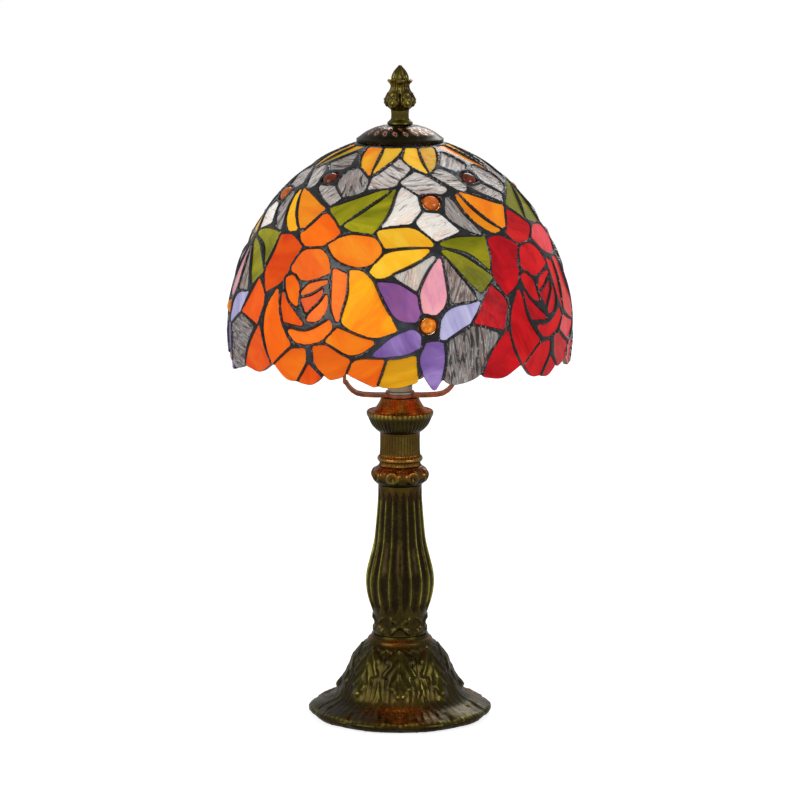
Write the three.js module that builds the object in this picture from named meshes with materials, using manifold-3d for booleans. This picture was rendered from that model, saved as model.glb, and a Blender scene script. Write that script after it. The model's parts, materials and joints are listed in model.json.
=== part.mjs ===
// A table lamp with a leaded-glass shade. Bronze castings are stacked on a threaded pipe, a flat-strip harp
// stands round the bulb, and the domed shade hangs from the harp's top under a pierced cap and a finial.
// Millimetres, +Z up. The origin is the middle of the felt pad's underside, and the front faces -Y.
// Angles round the lamp are in degrees from the front, positive towards +X.
import * as THREE from "three";
import { mergeVertices } from "three/addons/utils/BufferGeometryUtils.js";
import Module from "manifold-3d";

const wasm = await Module();
wasm.setup();

// ---------------------------------------------------------------- driving dimensions
const GAP = 0.3; // left between pieces that touch
const REPEATS = 4; // times the shade's pattern goes round

// Stand
const FELT_THICKNESS = 1.2;
const PLATE_THICKNESS = 1.0;
const FOOT_LIFT = 0.5; // the casting's rim hangs this far above the table
const FOOT_RADIUS = 54.0;
const FOOT_HEIGHT = 48.1;
const FOOT_WALL = 3.0;
const FOOT_LOBES = 8;
const FOOT_LOBE_DEPTH = 1.2;
const COLUMN_HEIGHT = 88.9;
const COLUMN_WAIST_RADIUS = 15.5; // bottom end, where it meets the foot
const COLUMN_BELLY_RADIUS = 20.6;
const COLUMN_TOP_RADIUS = 12.6;
const FLUTES = 16;
const FLUTE_DEPTH = 0.9;
const COLLAR_HEIGHT = 11.1;
const COLLAR_RADIUS = 16.6;
const NECK_HEIGHT = 19.6;
const NECK_RADIUS = 11.8;
const NECK_RIBS = 22;
const RIB_DEPTH = 0.5;
const CUP_HEIGHT = 20.2;
const CUP_RADIUS = 19.6;
const CUP_HUB_RADIUS = 11.2;
const CASTING_WALL = 2.6;

// Threaded pipe that clamps the stack, and its nut
const PIPE_RADIUS = 5.0;
const PIPE_BORE = 3.5;
const PIPE_CLEARANCE = 0.3;
const NUT_HEIGHT = 4.5;
const WASHER_THICKNESS = 1.0;

// Outlet for the flex at the back of the foot
const OUTLET_RADIUS = 4.6; // of the hole in the casting
const OUTLET_BORE = 3.2;
const OUTLET_HEIGHT = 6.2; // of its axis above the casting's rim
const OUTLET_FLANGE = 1.7; // past the bush's body all round
const OUTLET_FLANGE_THICKNESS = 1.6;

// Harp: one strip bent into a closed loop
const HARP_HEIGHT = 156.1;
const HARP_HALF_WIDTH = 33.5;
const STRIP_THICKNESS = 2.0;
const STRIP_WIDTH = 8.0;
const SHOULDER_DROP = 8.6; // of the shoulder's middle line below the harp's top
const SHOULDER_CLEARANCE = 5.9; // from the shoulder's middle line to the ring in the shade's opening
const STUD_RADIUS = 2.9;
const STUD_HEAD_RADIUS = 4.4;
const STUD_HEAD_HEIGHT = 2.2;

// Lamp holder
const HUB_RADIUS = 7.3;
const HUB_HEIGHT = 6.0;
const HOLDER_SPACE = 3.1; // between the screw shell and the holder's wall
const HOLDER_CAP_HEIGHT = 20.0;
const HOLDER_BODY_HEIGHT = 32.0;
const HOLDER_WALL = 2.2;
const INSULATOR_HEIGHT = 5.0;
const SHELL_HEIGHT = 22.0;
const SHELL_THICKNESS = 0.7;
const TERMINAL_RADIUS = 2.0;
const TERMINAL_LENGTH = 5.0;
const TERMINAL_INSET = 8.7; // of a screw's axis from the insulator's edge

// Bulb
const BULB_RADIUS = 22.5;
const BULB_CAP_RADIUS = 13.2;
const BULB_CAP_HEIGHT = 23.0;
const BULB_GLASS_HEIGHT = 61.0;
const BULB_WALL = 1.0;
const CONTACT_RADIUS = 4.8;
const CONTACT_HEIGHT = 1.7;
const FILAMENT_RING_RADIUS = 7.5;
const FILAMENT_RADIUS = 0.6;

// Shade
const SHADE_RADIUS = 100.0;
const DOME_RISE = 110.0; // from the widest ring to where the dome would close
const DOME_SQUARENESS = 1.067; // 1 is a plain ellipse
const SKIRT_REACH = 120.0; // half height of the ellipse that turns in below the widest ring
const SHADE_HEIGHT = 124.0; // from the aperture to the mean line of the lower edge
const PANEL_THICKNESS = 3.0;
const CROWN_LENGTH = 30.0; // down the dome's side, from the aperture
const MIDDLE_LENGTH = 39.5;
const ROSE_LOBE_START = 46.5; // degrees before each repeat's zero
const ROSE_LOBE_SWEEP = 28.5;
const ROSE_LOBE_DEPTH = 5.5; // the lower edge hangs in lobes below its notches
const FLOWER_LOBE_DEPTH = 8.0;
const JEWEL_THICKNESS = 5.0;
// Once in each repeat: name, angle, distance down the dome's side from the aperture, radius.
const JEWELS = [
  ["upper_jewel", 44.5, 36.5, 5.2],
  ["middle_jewel", 15.0, 52.5, 5.2],
  ["flower_jewel", 9.3, 126.0, 4.3],
];

// Cap and finial
const CAP_RADIUS = 25.3;
const CAP_RISE = 9.2;
const CAP_THICKNESS = 1.2;
const CAP_OVERLAP = 1.8; // past the aperture
const CAP_VENTS = 8;
const SOLDER_SEAM = 0.7; // between the cap's rim and the dome
const RING_THICKNESS = 1.2;
const RING_HEIGHT = 4.0;
const SEAT_WASHER_RADIUS = 9.0;
const SEAT_WASHER_THICKNESS = 0.8;
const SEAT_MARGIN = 0.1; // of the cap's flat crown past the washer
const FINIAL_HEIGHT = 34.8;
const FINIAL_RADIUS = 8.9;
const INSERT_RADIUS = 4.3;
const INSERT_HEIGHT = 11.0;

// ---------------------------------------------------------------- levels, from the table up
const pipeHole = PIPE_RADIUS + PIPE_CLEARANCE;
const footTop = FOOT_LIFT + FOOT_HEIGHT;
const columnBase = footTop + GAP;
const collarBase = columnBase + COLUMN_HEIGHT + GAP;
const neckBase = collarBase + COLLAR_HEIGHT + GAP;
const cupBase = neckBase + NECK_HEIGHT + GAP;
const harpBase = cupBase + CUP_HEIGHT + GAP;
const harpTop = harpBase + HARP_HEIGHT;
const lockWasherBase = harpBase + STRIP_THICKNESS + GAP;
const holderBase = lockWasherBase + WASHER_THICKNESS + GAP;
const holderBodyBase = holderBase + HOLDER_CAP_HEIGHT + GAP;
const insulatorBase = holderBodyBase + 1.0;
const shellBase = insulatorBase + INSULATOR_HEIGHT + GAP;
const contactTongue = 1.5;
const bulbBase = shellBase + contactTongue + GAP;
const bulbCapBase = bulbBase + CONTACT_HEIGHT + GAP;
const seatWasherBase = harpTop + GAP;
const capTop = seatWasherBase + SEAT_WASHER_THICKNESS + GAP + CAP_THICKNESS;
const capRim = capTop - CAP_RISE;
const finialBase = capTop + GAP;

// ---------------------------------------------------------------- helpers
const rad = THREE.MathUtils.degToRad;
const point = (x, y) => new THREE.Vector2(x, y);

// A smooth line through [radius, height] points.
function curved(pairs, steps) {
  return new THREE.SplineCurve(pairs.map(([r, z]) => point(r, z))).getPoints(steps);
}

// Turns a [radius, height] outline about +Z. It runs anticlockwise in the radius-height plane.
function turned(outline, segments) {
  const points = outline.map((p) => (p.isVector2 ? p : point(...p)));
  const onAxis = points[0].x === 0 && points.at(-1).x === 0;
  if (!onAxis) points.push(points[0].clone());
  const geometry = new THREE.LatheGeometry(points, segments);
  return geometry.rotateX(Math.PI / 2);
}

// Moves each corner of a turned shape by what shift says of its angle, radius and height.
function reshaped(geometry, shift) {
  const position = geometry.getAttribute("position");
  for (let i = 0; i < position.count; i++) {
    const [x, y, z] = [position.getX(i), position.getY(i), position.getZ(i)];
    const radius = Math.hypot(x, y);
    const angle = Math.atan2(x, -y);
    const { dr = 0, dz = 0 } = shift(angle, radius, z);
    const k = radius > 0 ? (radius + dr) / radius : 1;
    position.setXYZ(i, x * k, y * k, z + dz);
  }
  return geometry;
}

function solidOf(geometry) {
  const bare = new THREE.BufferGeometry();
  bare.setAttribute("position", geometry.getAttribute("position"));
  bare.setIndex(geometry.getIndex());
  const merged = mergeVertices(bare, 1e-4);
  return new wasm.Manifold(
    new wasm.Mesh({
      numProp: 3,
      vertProperties: merged.getAttribute("position").array,
      triVerts: new Uint32Array(merged.getIndex().array),
    }),
  );
}

function geometryOf(solid) {
  const mesh = solid.getMesh();
  const geometry = new THREE.BufferGeometry();
  geometry.setAttribute("position", new THREE.BufferAttribute(mesh.vertProperties, 3));
  geometry.setIndex(new THREE.BufferAttribute(mesh.triVerts, 1));
  return geometry;
}

function cut(geometry, ...tools) {
  return geometryOf(tools.reduce((left, tool) => left.subtract(solidOf(tool)), solidOf(geometry)));
}

// A plain ring or tube between two radii, from height 0 up.
function ring(inner, outer, height, segments = 24) {
  return turned([[inner, 0], [outer, 0], [outer, height], [inner, height]], segments);
}

function rod(radius, height, segments = 12) {
  return new THREE.CylinderGeometry(radius, radius, height, segments).rotateX(Math.PI / 2);
}

// ---------------------------------------------------------------- materials
function finish(color, roughness, metalness) {
  return new THREE.MeshStandardMaterial({ color, roughness, metalness });
}
const bronze = finish("#4a4218", 0.45, 0.8);
const darkBronze = finish("#35261d", 0.5, 0.7);
const brass = finish("#b08a3c", 0.35, 0.9);
const steel = finish("#9a9a98", 0.4, 0.9);
const copper = finish("#a8603c", 0.4, 0.8);
const phenolic = finish("#17130f", 0.5, 0.0);
const porcelain = finish("#e9e4d8", 0.4, 0.0);
const nickel = finish("#c4c2bc", 0.3, 0.9);
const felt = finish("#27301f", 0.95, 0.0);
const bulbGlass = finish("#fff3dc", 0.2, 0.0);
const hotWire = finish("#ffd27a", 0.5, 0.2);
const roseOrange = finish("#f2661c", 0.3, 0.0);
const roseRed = finish("#c9191c", 0.3, 0.0);
const violet = finish("#8a62b0", 0.3, 0.0);
const streaky = finish("#d8d0c8", 0.3, 0.0);
const amber = finish("#f0a020", 0.3, 0.0);
const jewelAmber = finish("#b8360c", 0.1, 0.0);

const lamp = new THREE.Group();

function add(name, geometry, material, z = 0, parent = lamp) {
  const mesh = new THREE.Mesh(geometry, material);
  mesh.name = name;
  mesh.position.z = z;
  parent.add(mesh);
  return mesh;
}

// ---------------------------------------------------------------- stand: castings
// The foot: a hollow flared bell with a lobed rim, closed at the top by a web that the column stands on.
function footCasting() {
  const webThickness = 4.0;
  const shoulder = COLUMN_WAIST_RADIUS + 0.9;
  const rimHeight = 0.11 * FOOT_HEIGHT;
  const outside = curved(
    [
      [FOOT_RADIUS - 0.6, 0.15 * FOOT_HEIGHT],
      [0.885 * FOOT_RADIUS, 0.25 * FOOT_HEIGHT],
      [0.66 * FOOT_RADIUS, 0.36 * FOOT_HEIGHT],
      [0.56 * FOOT_RADIUS, 0.54 * FOOT_HEIGHT],
      [0.5 * FOOT_RADIUS, 0.71 * FOOT_HEIGHT],
      [0.375 * FOOT_RADIUS, 0.88 * FOOT_HEIGHT],
      [shoulder, FOOT_HEIGHT],
    ],
    9,
  );
  const inside = outside
    .slice(0, -1)
    .filter((_, i) => i % 2 === 0)
    .map((p) => point(p.x - FOOT_WALL, Math.min(p.y, FOOT_HEIGHT - webThickness) - FOOT_WALL))
    .reverse();
  const geometry = turned(
    [
      [FOOT_RADIUS, 0],
      [FOOT_RADIUS, rimHeight],
      ...outside,
      [pipeHole, FOOT_HEIGHT],
      [pipeHole, FOOT_HEIGHT - webThickness],
      [inside[0].x, FOOT_HEIGHT - webThickness],
      ...inside,
      [FOOT_RADIUS - FOOT_WALL, 0],
    ],
    40,
  );
  reshaped(geometry, (angle, radius) => {
    const flare = Math.max(0, (radius / FOOT_RADIUS - 0.8) / 0.2);
    return { dr: 0.5 * FOOT_LOBE_DEPTH * (Math.cos(FOOT_LOBES * angle) - 1) * flare };
  });
  const drill = rod(OUTLET_RADIUS, FOOT_RADIUS, 16)
    .rotateX(Math.PI / 2)
    .translate(0, FOOT_RADIUS, OUTLET_HEIGHT);
  return { geometry: cut(geometry, drill), webUnderside: FOOT_HEIGHT - webThickness };
}

// The column: a fluted baluster, hollow, with a web at its top end.
function columnCasting() {
  const webThickness = 5.0;
  const outside = curved(
    [
      [COLUMN_WAIST_RADIUS, 0],
      [COLUMN_WAIST_RADIUS, 0.11 * COLUMN_HEIGHT],
      [0.885 * COLUMN_BELLY_RADIUS, 0.22 * COLUMN_HEIGHT],
      [COLUMN_BELLY_RADIUS, 0.35 * COLUMN_HEIGHT],
      [0.84 * COLUMN_BELLY_RADIUS, 0.56 * COLUMN_HEIGHT],
      [1.12 * COLUMN_TOP_RADIUS, 0.75 * COLUMN_HEIGHT],
      [COLUMN_TOP_RADIUS, COLUMN_HEIGHT],
    ],
    10,
  );
  const hollow = COLUMN_TOP_RADIUS - CASTING_WALL - FLUTE_DEPTH;
  const geometry = turned(
    [
      ...outside,
      [pipeHole, COLUMN_HEIGHT],
      [pipeHole, COLUMN_HEIGHT - webThickness],
      [hollow, COLUMN_HEIGHT - webThickness - 2],
      [COLUMN_WAIST_RADIUS - CASTING_WALL - FLUTE_DEPTH, 0.35 * COLUMN_HEIGHT],
      [COLUMN_WAIST_RADIUS - CASTING_WALL - FLUTE_DEPTH, 0],
    ],
    FLUTES * 3,
  );
  return reshaped(geometry, (angle, radius, z) => {
    const along = z / COLUMN_HEIGHT;
    const fluted = radius > COLUMN_TOP_RADIUS - 0.1 && along > 0.16 && along < 0.97;
    return { dr: fluted ? 0.5 * FLUTE_DEPTH * (Math.cos(FLUTES * angle) - 1) : 0 };
  });
}

// The collar: a thick roll between the column and the neck.
function collarCasting() {
  const outside = curved(
    [
      [COLUMN_TOP_RADIUS + 0.4, 0],
      [0.96 * COLLAR_RADIUS, 0.3 * COLLAR_HEIGHT],
      [COLLAR_RADIUS, 0.58 * COLLAR_HEIGHT],
      [0.93 * COLLAR_RADIUS, 0.86 * COLLAR_HEIGHT],
      [NECK_RADIUS + 0.6, COLLAR_HEIGHT],
    ],
    6,
  );
  return turned([...outside, [pipeHole, COLLAR_HEIGHT], [pipeHole, 0]], 28);
}

// The neck: a short ribbed cylinder with one bead near its lower end.
function neckCasting() {
  const beadHeight = 0.2 * NECK_HEIGHT;
  const beadRadius = NECK_RADIUS + 1.6;
  const ribStart = 0.36 * NECK_HEIGHT;
  const hollow = NECK_RADIUS - CASTING_WALL;
  const geometry = turned(
    [
      [NECK_RADIUS, 0],
      [NECK_RADIUS, beadHeight - 1.6],
      [beadRadius, beadHeight - 0.6],
      [beadRadius, beadHeight + 0.6],
      [NECK_RADIUS, beadHeight + 1.6],
      [NECK_RADIUS, ribStart],
      [NECK_RADIUS + 0.01, 0.96 * NECK_HEIGHT],
      [NECK_RADIUS, NECK_HEIGHT],
      [pipeHole, NECK_HEIGHT],
      [pipeHole, NECK_HEIGHT - CASTING_WALL],
      [hollow, NECK_HEIGHT - CASTING_WALL - 2],
      [hollow, 0],
    ],
    NECK_RIBS * 2,
  );
  return reshaped(geometry, (angle, radius, z) => {
    const ribbed = radius > NECK_RADIUS - 0.1 && z > ribStart - 0.1 && z < 0.97 * NECK_HEIGHT;
    return { dr: ribbed ? 0.5 * RIB_DEPTH * (Math.cos(NECK_RIBS * angle) - 1) : 0 };
  });
}

// The cup: a cone opening upwards to a rim, with a hub rising from its middle.
function cupCasting() {
  return turned(
    [
      [NECK_RADIUS - 0.2, 0],
      [NECK_RADIUS + 0.8, 0.06 * CUP_HEIGHT],
      [CUP_RADIUS - 0.5, 0.48 * CUP_HEIGHT],
      [CUP_RADIUS, 0.56 * CUP_HEIGHT],
      [CUP_RADIUS - 0.8, 0.63 * CUP_HEIGHT],
      [CUP_RADIUS - 2.6, 0.6 * CUP_HEIGHT],
      [CUP_HUB_RADIUS + 3.0, 0.64 * CUP_HEIGHT],
      [CUP_HUB_RADIUS + 1.1, 0.8 * CUP_HEIGHT],
      [CUP_HUB_RADIUS, 0.96 * CUP_HEIGHT],
      [CUP_HUB_RADIUS - 0.6, CUP_HEIGHT],
      [pipeHole, CUP_HEIGHT],
      [pipeHole, 0],
    ],
    28,
  );
}

const foot = footCasting();
const insideRim = FOOT_RADIUS - FOOT_WALL - FOOT_LOBE_DEPTH - GAP;
add("foot_casting", foot.geometry, bronze, FOOT_LIFT);
add("column_casting", columnCasting(), bronze, columnBase);
add("collar_casting", collarCasting(), bronze, collarBase);
add("neck_casting", neckCasting(), bronze, neckBase);
add("cup_casting", cupCasting(), bronze, cupBase);
const plateLevel = FELT_THICKNESS + GAP;
add("felt_pad", rod(insideRim, FELT_THICKNESS, 36), felt, 0.5 * FELT_THICKNESS);
add("base_plate", rod(insideRim, PLATE_THICKNESS, 36), steel, plateLevel + 0.5 * PLATE_THICKNESS);

// ---------------------------------------------------------------- stand: pipe, nut, washers, outlet
const washerBase = FOOT_LIFT + foot.webUnderside - GAP - WASHER_THICKNESS;
const nutBase = washerBase - GAP - NUT_HEIGHT;
const pipeBase = nutBase - 4.0;
const pipeTop = holderBase + HUB_HEIGHT;
const nutCorner = (2 * PIPE_RADIUS + 7.0) / Math.sqrt(3);
add("threaded_pipe", ring(PIPE_BORE, PIPE_RADIUS, pipeTop - pipeBase, 20), brass, pipeBase);
const hexagon = rod(nutCorner, NUT_HEIGHT, 6);
add("pipe_nut", cut(hexagon, rod(pipeHole, 3 * NUT_HEIGHT, 20)), steel, nutBase + 0.5 * NUT_HEIGHT);
add("pipe_washer", ring(pipeHole, nutCorner + 1.5, WASHER_THICKNESS), steel, washerBase);
add("lock_washer", ring(pipeHole, HUB_RADIUS + 1.2, WASHER_THICKNESS), steel, lockWasherBase);

// A flanged bush in the hole at the back of the foot, its axis along +Y.
function outletBush() {
  const body = OUTLET_RADIUS - GAP;
  const reach = FOOT_WALL + FOOT_LOBE_DEPTH;
  const end = reach + OUTLET_FLANGE_THICKNESS;
  const flange = body + OUTLET_FLANGE;
  const outline = [[OUTLET_BORE, 0], [body, 0], [body, reach], [flange, reach], [flange, end], [OUTLET_BORE, end]];
  return turned(outline, 20).rotateX(-Math.PI / 2).translate(0, FOOT_RADIUS + GAP - reach, 0);
}
add("outlet_bush", outletBush(), phenolic, FOOT_LIFT + OUTLET_HEIGHT);

// ---------------------------------------------------------------- harp stud
const studBase = harpTop - STRIP_THICKNESS - GAP - STUD_HEAD_HEIGHT;
const studLength = finialBase + INSERT_HEIGHT - 2.0 - studBase;
function stud() {
  return turned(
    [
      [0, 0],
      [STUD_HEAD_RADIUS, 0],
      [STUD_HEAD_RADIUS, STUD_HEAD_HEIGHT],
      [STUD_RADIUS, STUD_HEAD_HEIGHT],
      [STUD_RADIUS, studLength],
      [0, studLength],
    ],
    16,
  );
}
add("harp_stud", stud(), brass, studBase);

// ---------------------------------------------------------------- lamp holder
const shellInside = BULB_CAP_RADIUS + GAP;
const holderRadius = shellInside + SHELL_THICKNESS + HOLDER_SPACE + HOLDER_WALL;
const insulatorRadius = holderRadius - HOLDER_WALL - 2 * GAP;
function holderCap() {
  const wall = HOLDER_WALL;
  return turned(
    [
      [HUB_RADIUS, 0],
      [HUB_RADIUS, HUB_HEIGHT],
      [0.68 * holderRadius, HUB_HEIGHT + 1.6],
      [0.95 * holderRadius, HUB_HEIGHT + 6],
      [holderRadius, HOLDER_CAP_HEIGHT],
      [holderRadius - wall, HOLDER_CAP_HEIGHT],
      [0.95 * holderRadius - wall, HUB_HEIGHT + 7.2],
      [0.68 * holderRadius - 1, HUB_HEIGHT + 1.6 + wall],
      [pipeHole, HUB_HEIGHT + 0.6 + wall],
      [pipeHole, 0],
    ],
    28,
  );
}

function holderBody() {
  const inside = holderRadius - HOLDER_WALL;
  return turned(
    [
      [holderRadius, 0],
      [holderRadius, HOLDER_BODY_HEIGHT - 2],
      [holderRadius - 0.9, HOLDER_BODY_HEIGHT],
      [inside - 0.9, HOLDER_BODY_HEIGHT],
      [inside - 0.9, HOLDER_BODY_HEIGHT - 3],
      [inside, HOLDER_BODY_HEIGHT - 4],
      [inside, 0],
    ],
    28,
  );
}
const contactPlate = 0.8 * CONTACT_RADIUS;
add("holder_cap", holderCap(), phenolic, holderBase);
add("holder_body", holderBody(), phenolic, holderBodyBase);
add("holder_insulator", ring(TERMINAL_RADIUS, insulatorRadius, INSULATOR_HEIGHT), porcelain, insulatorBase);
add("screw_shell", ring(shellInside, shellInside + SHELL_THICKNESS, SHELL_HEIGHT), brass, shellBase);
add("centre_contact", rod(contactPlate, contactTongue, 16), brass, shellBase + 0.5 * contactTongue);
for (const [name, side] of [["terminal_screw_live", -1], ["terminal_screw_neutral", 1]]) {
  const screw = add(name, rod(TERMINAL_RADIUS, TERMINAL_LENGTH), brass);
  screw.position.set(side * (insulatorRadius - TERMINAL_INSET), 0, insulatorBase - GAP - 0.5 * TERMINAL_LENGTH);
}

// ---------------------------------------------------------------- bulb
function bulbCap() {
  const inside = BULB_CAP_RADIUS - 1.2;
  return turned(
    [
      [CONTACT_RADIUS + 1.6, 0],
      [BULB_CAP_RADIUS - 0.8, 4.2],
      [BULB_CAP_RADIUS, 5.4],
      [BULB_CAP_RADIUS, BULB_CAP_HEIGHT],
      [inside, BULB_CAP_HEIGHT],
      [inside, 6.0],
      [CONTACT_RADIUS - 1.0, 2.0],
      [CONTACT_RADIUS - 1.0, 0],
    ],
    24,
  );
}

// The envelope: a globe on a short neck, open at the bottom, from height 0 at the neck's edge.
const neckRadius = BULB_CAP_RADIUS - 1.2 - 0.6;
function globe(shrink) {
  const radius = BULB_RADIUS - shrink;
  const centre = BULB_GLASS_HEIGHT - BULB_RADIUS;
  const start = Math.asin((neckRadius + 1.5) / BULB_RADIUS);
  const arc = [];
  const steps = 7;
  for (let i = 0; i <= steps; i++) {
    const angle = start + ((Math.PI - start) * i) / steps;
    arc.push(point(i === steps ? 0 : radius * Math.sin(angle), centre - radius * Math.cos(angle)));
  }
  return [point(neckRadius - shrink, 0), point(neckRadius - shrink, 0.5 * (centre - BULB_RADIUS * Math.cos(start))), ...arc];
}
const bulbGlassBase = bulbCapBase + BULB_CAP_HEIGHT - 9.0;
const stemHeight = BULB_GLASS_HEIGHT - 1.25 * BULB_RADIUS;
add("bulb_contact", rod(CONTACT_RADIUS, CONTACT_HEIGHT, 16), nickel, bulbBase + 0.5 * CONTACT_HEIGHT);
add("bulb_screw_cap", bulbCap(), nickel, bulbCapBase);
add("bulb_glass", turned([...globe(0), ...globe(BULB_WALL).reverse()].slice(0, -1), 20), bulbGlass, bulbGlassBase);
add("bulb_stem", turned([[0, 0], [0.8 * neckRadius, 0], [3, 7], [2, stemHeight], [0, stemHeight]], 12), bulbGlass, bulbGlassBase);

// The filament lies in an open ring round the stem's end.
function filament() {
  const sweep = rad(300);
  const points = [];
  for (let i = 0; i <= 12; i++) {
    const angle = (sweep * i) / 12;
    points.push(new THREE.Vector3(FILAMENT_RING_RADIUS * Math.sin(angle), -FILAMENT_RING_RADIUS * Math.cos(angle), 0));
  }
  const section = new THREE.Shape();
  section.absarc(0, 0, FILAMENT_RADIUS, 0, 2 * Math.PI, false);
  const path = new THREE.CatmullRomCurve3(points);
  return new THREE.ExtrudeGeometry(section, { steps: 14, extrudePath: path, curveSegments: 3, bevelEnabled: false });
}
add("bulb_filament", filament(), hotWire, bulbGlassBase + stemHeight + 1.5);

// ---------------------------------------------------------------- shade
const aperture = CAP_RADIUS - CAP_OVERLAP;
const slopeAt = (radius) => Math.acos(radius / SHADE_RADIUS);
const riseAt = (slope) =>
  slope >= 0 ? DOME_RISE * Math.sin(slope) ** DOME_SQUARENESS : SKIRT_REACH * Math.sin(slope);
const apertureRise = riseAt(slopeAt(aperture));
const widestLevel = capRim - SOLDER_SEAM - apertureRise;
const skirtDrop = SHADE_HEIGHT - apertureRise;

// The dome's side as a curve from the aperture to the lower edge, in radius and height.
function domeSide() {
  const first = slopeAt(aperture);
  const last = -Math.asin(skirtDrop / SKIRT_REACH);
  const points = [];
  const steps = 48;
  for (let i = 0; i <= steps; i++) {
    const slope = first + ((last - first) * i) / steps;
    points.push(point(SHADE_RADIUS * Math.cos(slope), widestLevel + riseAt(slope)));
  }
  return new THREE.SplineCurve(points);
}
const side = domeSide();
const sideLength = side.getLength();

function onSide(share, inset = 0) {
  const at = side.getPointAt(share);
  const along = side.getTangentAt(share);
  return point(at.x + along.y * inset, at.y - along.x * inset);
}

// One band of the dome as a closed ring, between two shares of its side.
function band(from, to, rows, segments) {
  const outline = [];
  for (let i = 0; i <= rows; i++) outline.push(onSide(from + ((to - from) * i) / rows, PANEL_THICKNESS));
  for (let i = rows; i >= 0; i--) outline.push(onSide(from + ((to - from) * i) / rows));
  return turned(outline, segments);
}

// A wedge with its edge on the axis, between two angles, less half a gap on each side.
function wedge(from, to) {
  const half = rad(0.5 * (to - from));
  const middle = rad(0.5 * (to + from));
  const tip = (0.5 * GAP) / Math.sin(half);
  const far = 2 * SHADE_RADIUS;
  const towards = (angle, reach) =>
    point(tip * Math.sin(middle) + reach * Math.sin(angle), -tip * Math.cos(middle) - reach * Math.cos(angle));
  const outline = [towards(middle, 0), towards(middle - half, far), towards(middle, 1.3 * far), towards(middle + half, far)];
  const tall = 2 * SHADE_HEIGHT;
  const geometry = new THREE.ExtrudeGeometry(new THREE.Shape(outline), { depth: tall, bevelEnabled: false });
  geometry.translate(0, 0, widestLevel - 0.5 * tall);
  return geometry.deleteAttribute("normal").deleteAttribute("uv");
}

function jewelPlace(mesh, angle, share, lift) {
  const at = onSide(share, lift);
  const along = side.getTangentAt(share);
  const tilt = Math.atan2(-along.y, along.x);
  mesh.position.set(at.x * Math.sin(rad(angle)), -at.x * Math.cos(rad(angle)), at.y);
  mesh.rotation.set(tilt, 0, rad(angle), "ZXY");
  mesh.updateMatrix();
}

function jewel(radius) {
  return turned(
    [
      [0, 0],
      [0.9 * radius, 0],
      [radius, 0.2 * JEWEL_THICKNESS],
      [0.92 * radius, 0.6 * JEWEL_THICKNESS],
      [0.6 * radius, 0.88 * JEWEL_THICKNESS],
      [0, JEWEL_THICKNESS],
    ],
    10,
  );
}

const holes = [];
const turn = 360 / REPEATS;
for (let repeat = 0; repeat < REPEATS; repeat++) {
  for (const [name, angle, distance, radius] of JEWELS) {
    const mesh = add(`${name}_${repeat + 1}`, jewel(radius), jewelAmber);
    jewelPlace(mesh, angle + turn * repeat, distance / sideLength, PANEL_THICKNESS - 0.2);
    const hole = rod(radius + GAP, 4 * JEWEL_THICKNESS, 16);
    holes.push(solidOf(hole.applyMatrix4(mesh.matrix)));
  }
}

// Cuts one panel out of a band and drills it for the jewels that it holds.
function panel(ringSolid, from, to) {
  const piece = ringSolid.intersect(solidOf(wedge(from, to)));
  return geometryOf(holes.reduce((left, hole) => left.subtract(hole), piece));
}

// How far the lower edge stands above or below its mean level: one short lobe and one long one in each repeat.
function edgeShift(angle) {
  const place = THREE.MathUtils.euclideanModulo(angle + ROSE_LOBE_START, turn);
  const [along, depth] =
    place < ROSE_LOBE_SWEEP
      ? [place / ROSE_LOBE_SWEEP, ROSE_LOBE_DEPTH]
      : [(place - ROSE_LOBE_SWEEP) / (turn - ROSE_LOBE_SWEEP), FLOWER_LOBE_DEPTH];
  return 0.5 * ROSE_LOBE_DEPTH - depth * Math.sin(Math.PI * along) ** 0.6;
}

const seam = (0.5 * GAP) / sideLength;
const crownEnd = CROWN_LENGTH / sideLength;
const middleEnd = (CROWN_LENGTH + MIDDLE_LENGTH) / sideLength;
const crown = solidOf(band(0, crownEnd - seam, 2, 48));
const middle = solidOf(band(crownEnd + seam, middleEnd - seam, 2, 48));
const skirt = band(middleEnd + seam, 1, 5, 72);
reshaped(skirt, (angle, radius, z) => {
  const share = THREE.MathUtils.clamp((widestLevel - z) / skirtDrop, 0, 1);
  return { dz: share * edgeShift(THREE.MathUtils.radToDeg(angle)) };
});
const skirtSolid = solidOf(skirt);
const roses = [["rose", roseOrange], ["rose", roseRed]];
for (let repeat = 0; repeat < REPEATS; repeat++) {
  const start = turn * repeat;
  const number = repeat + 1;
  add(`tulip_panel_${number}`, panel(crown, start - 45, start + 45), amber);
  add(`background_panel_${number}`, panel(middle, start - 63, start + 27), streaky);
  const [rose, glass] = roses[repeat % 2];
  add(`${rose}_panel_${number}`, panel(skirtSolid, start - 61.9, start - 8.1), glass);
  add(`flower_panel_${number}`, panel(skirtSolid, start - 8.1, start + 28.1), violet);
}

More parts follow.
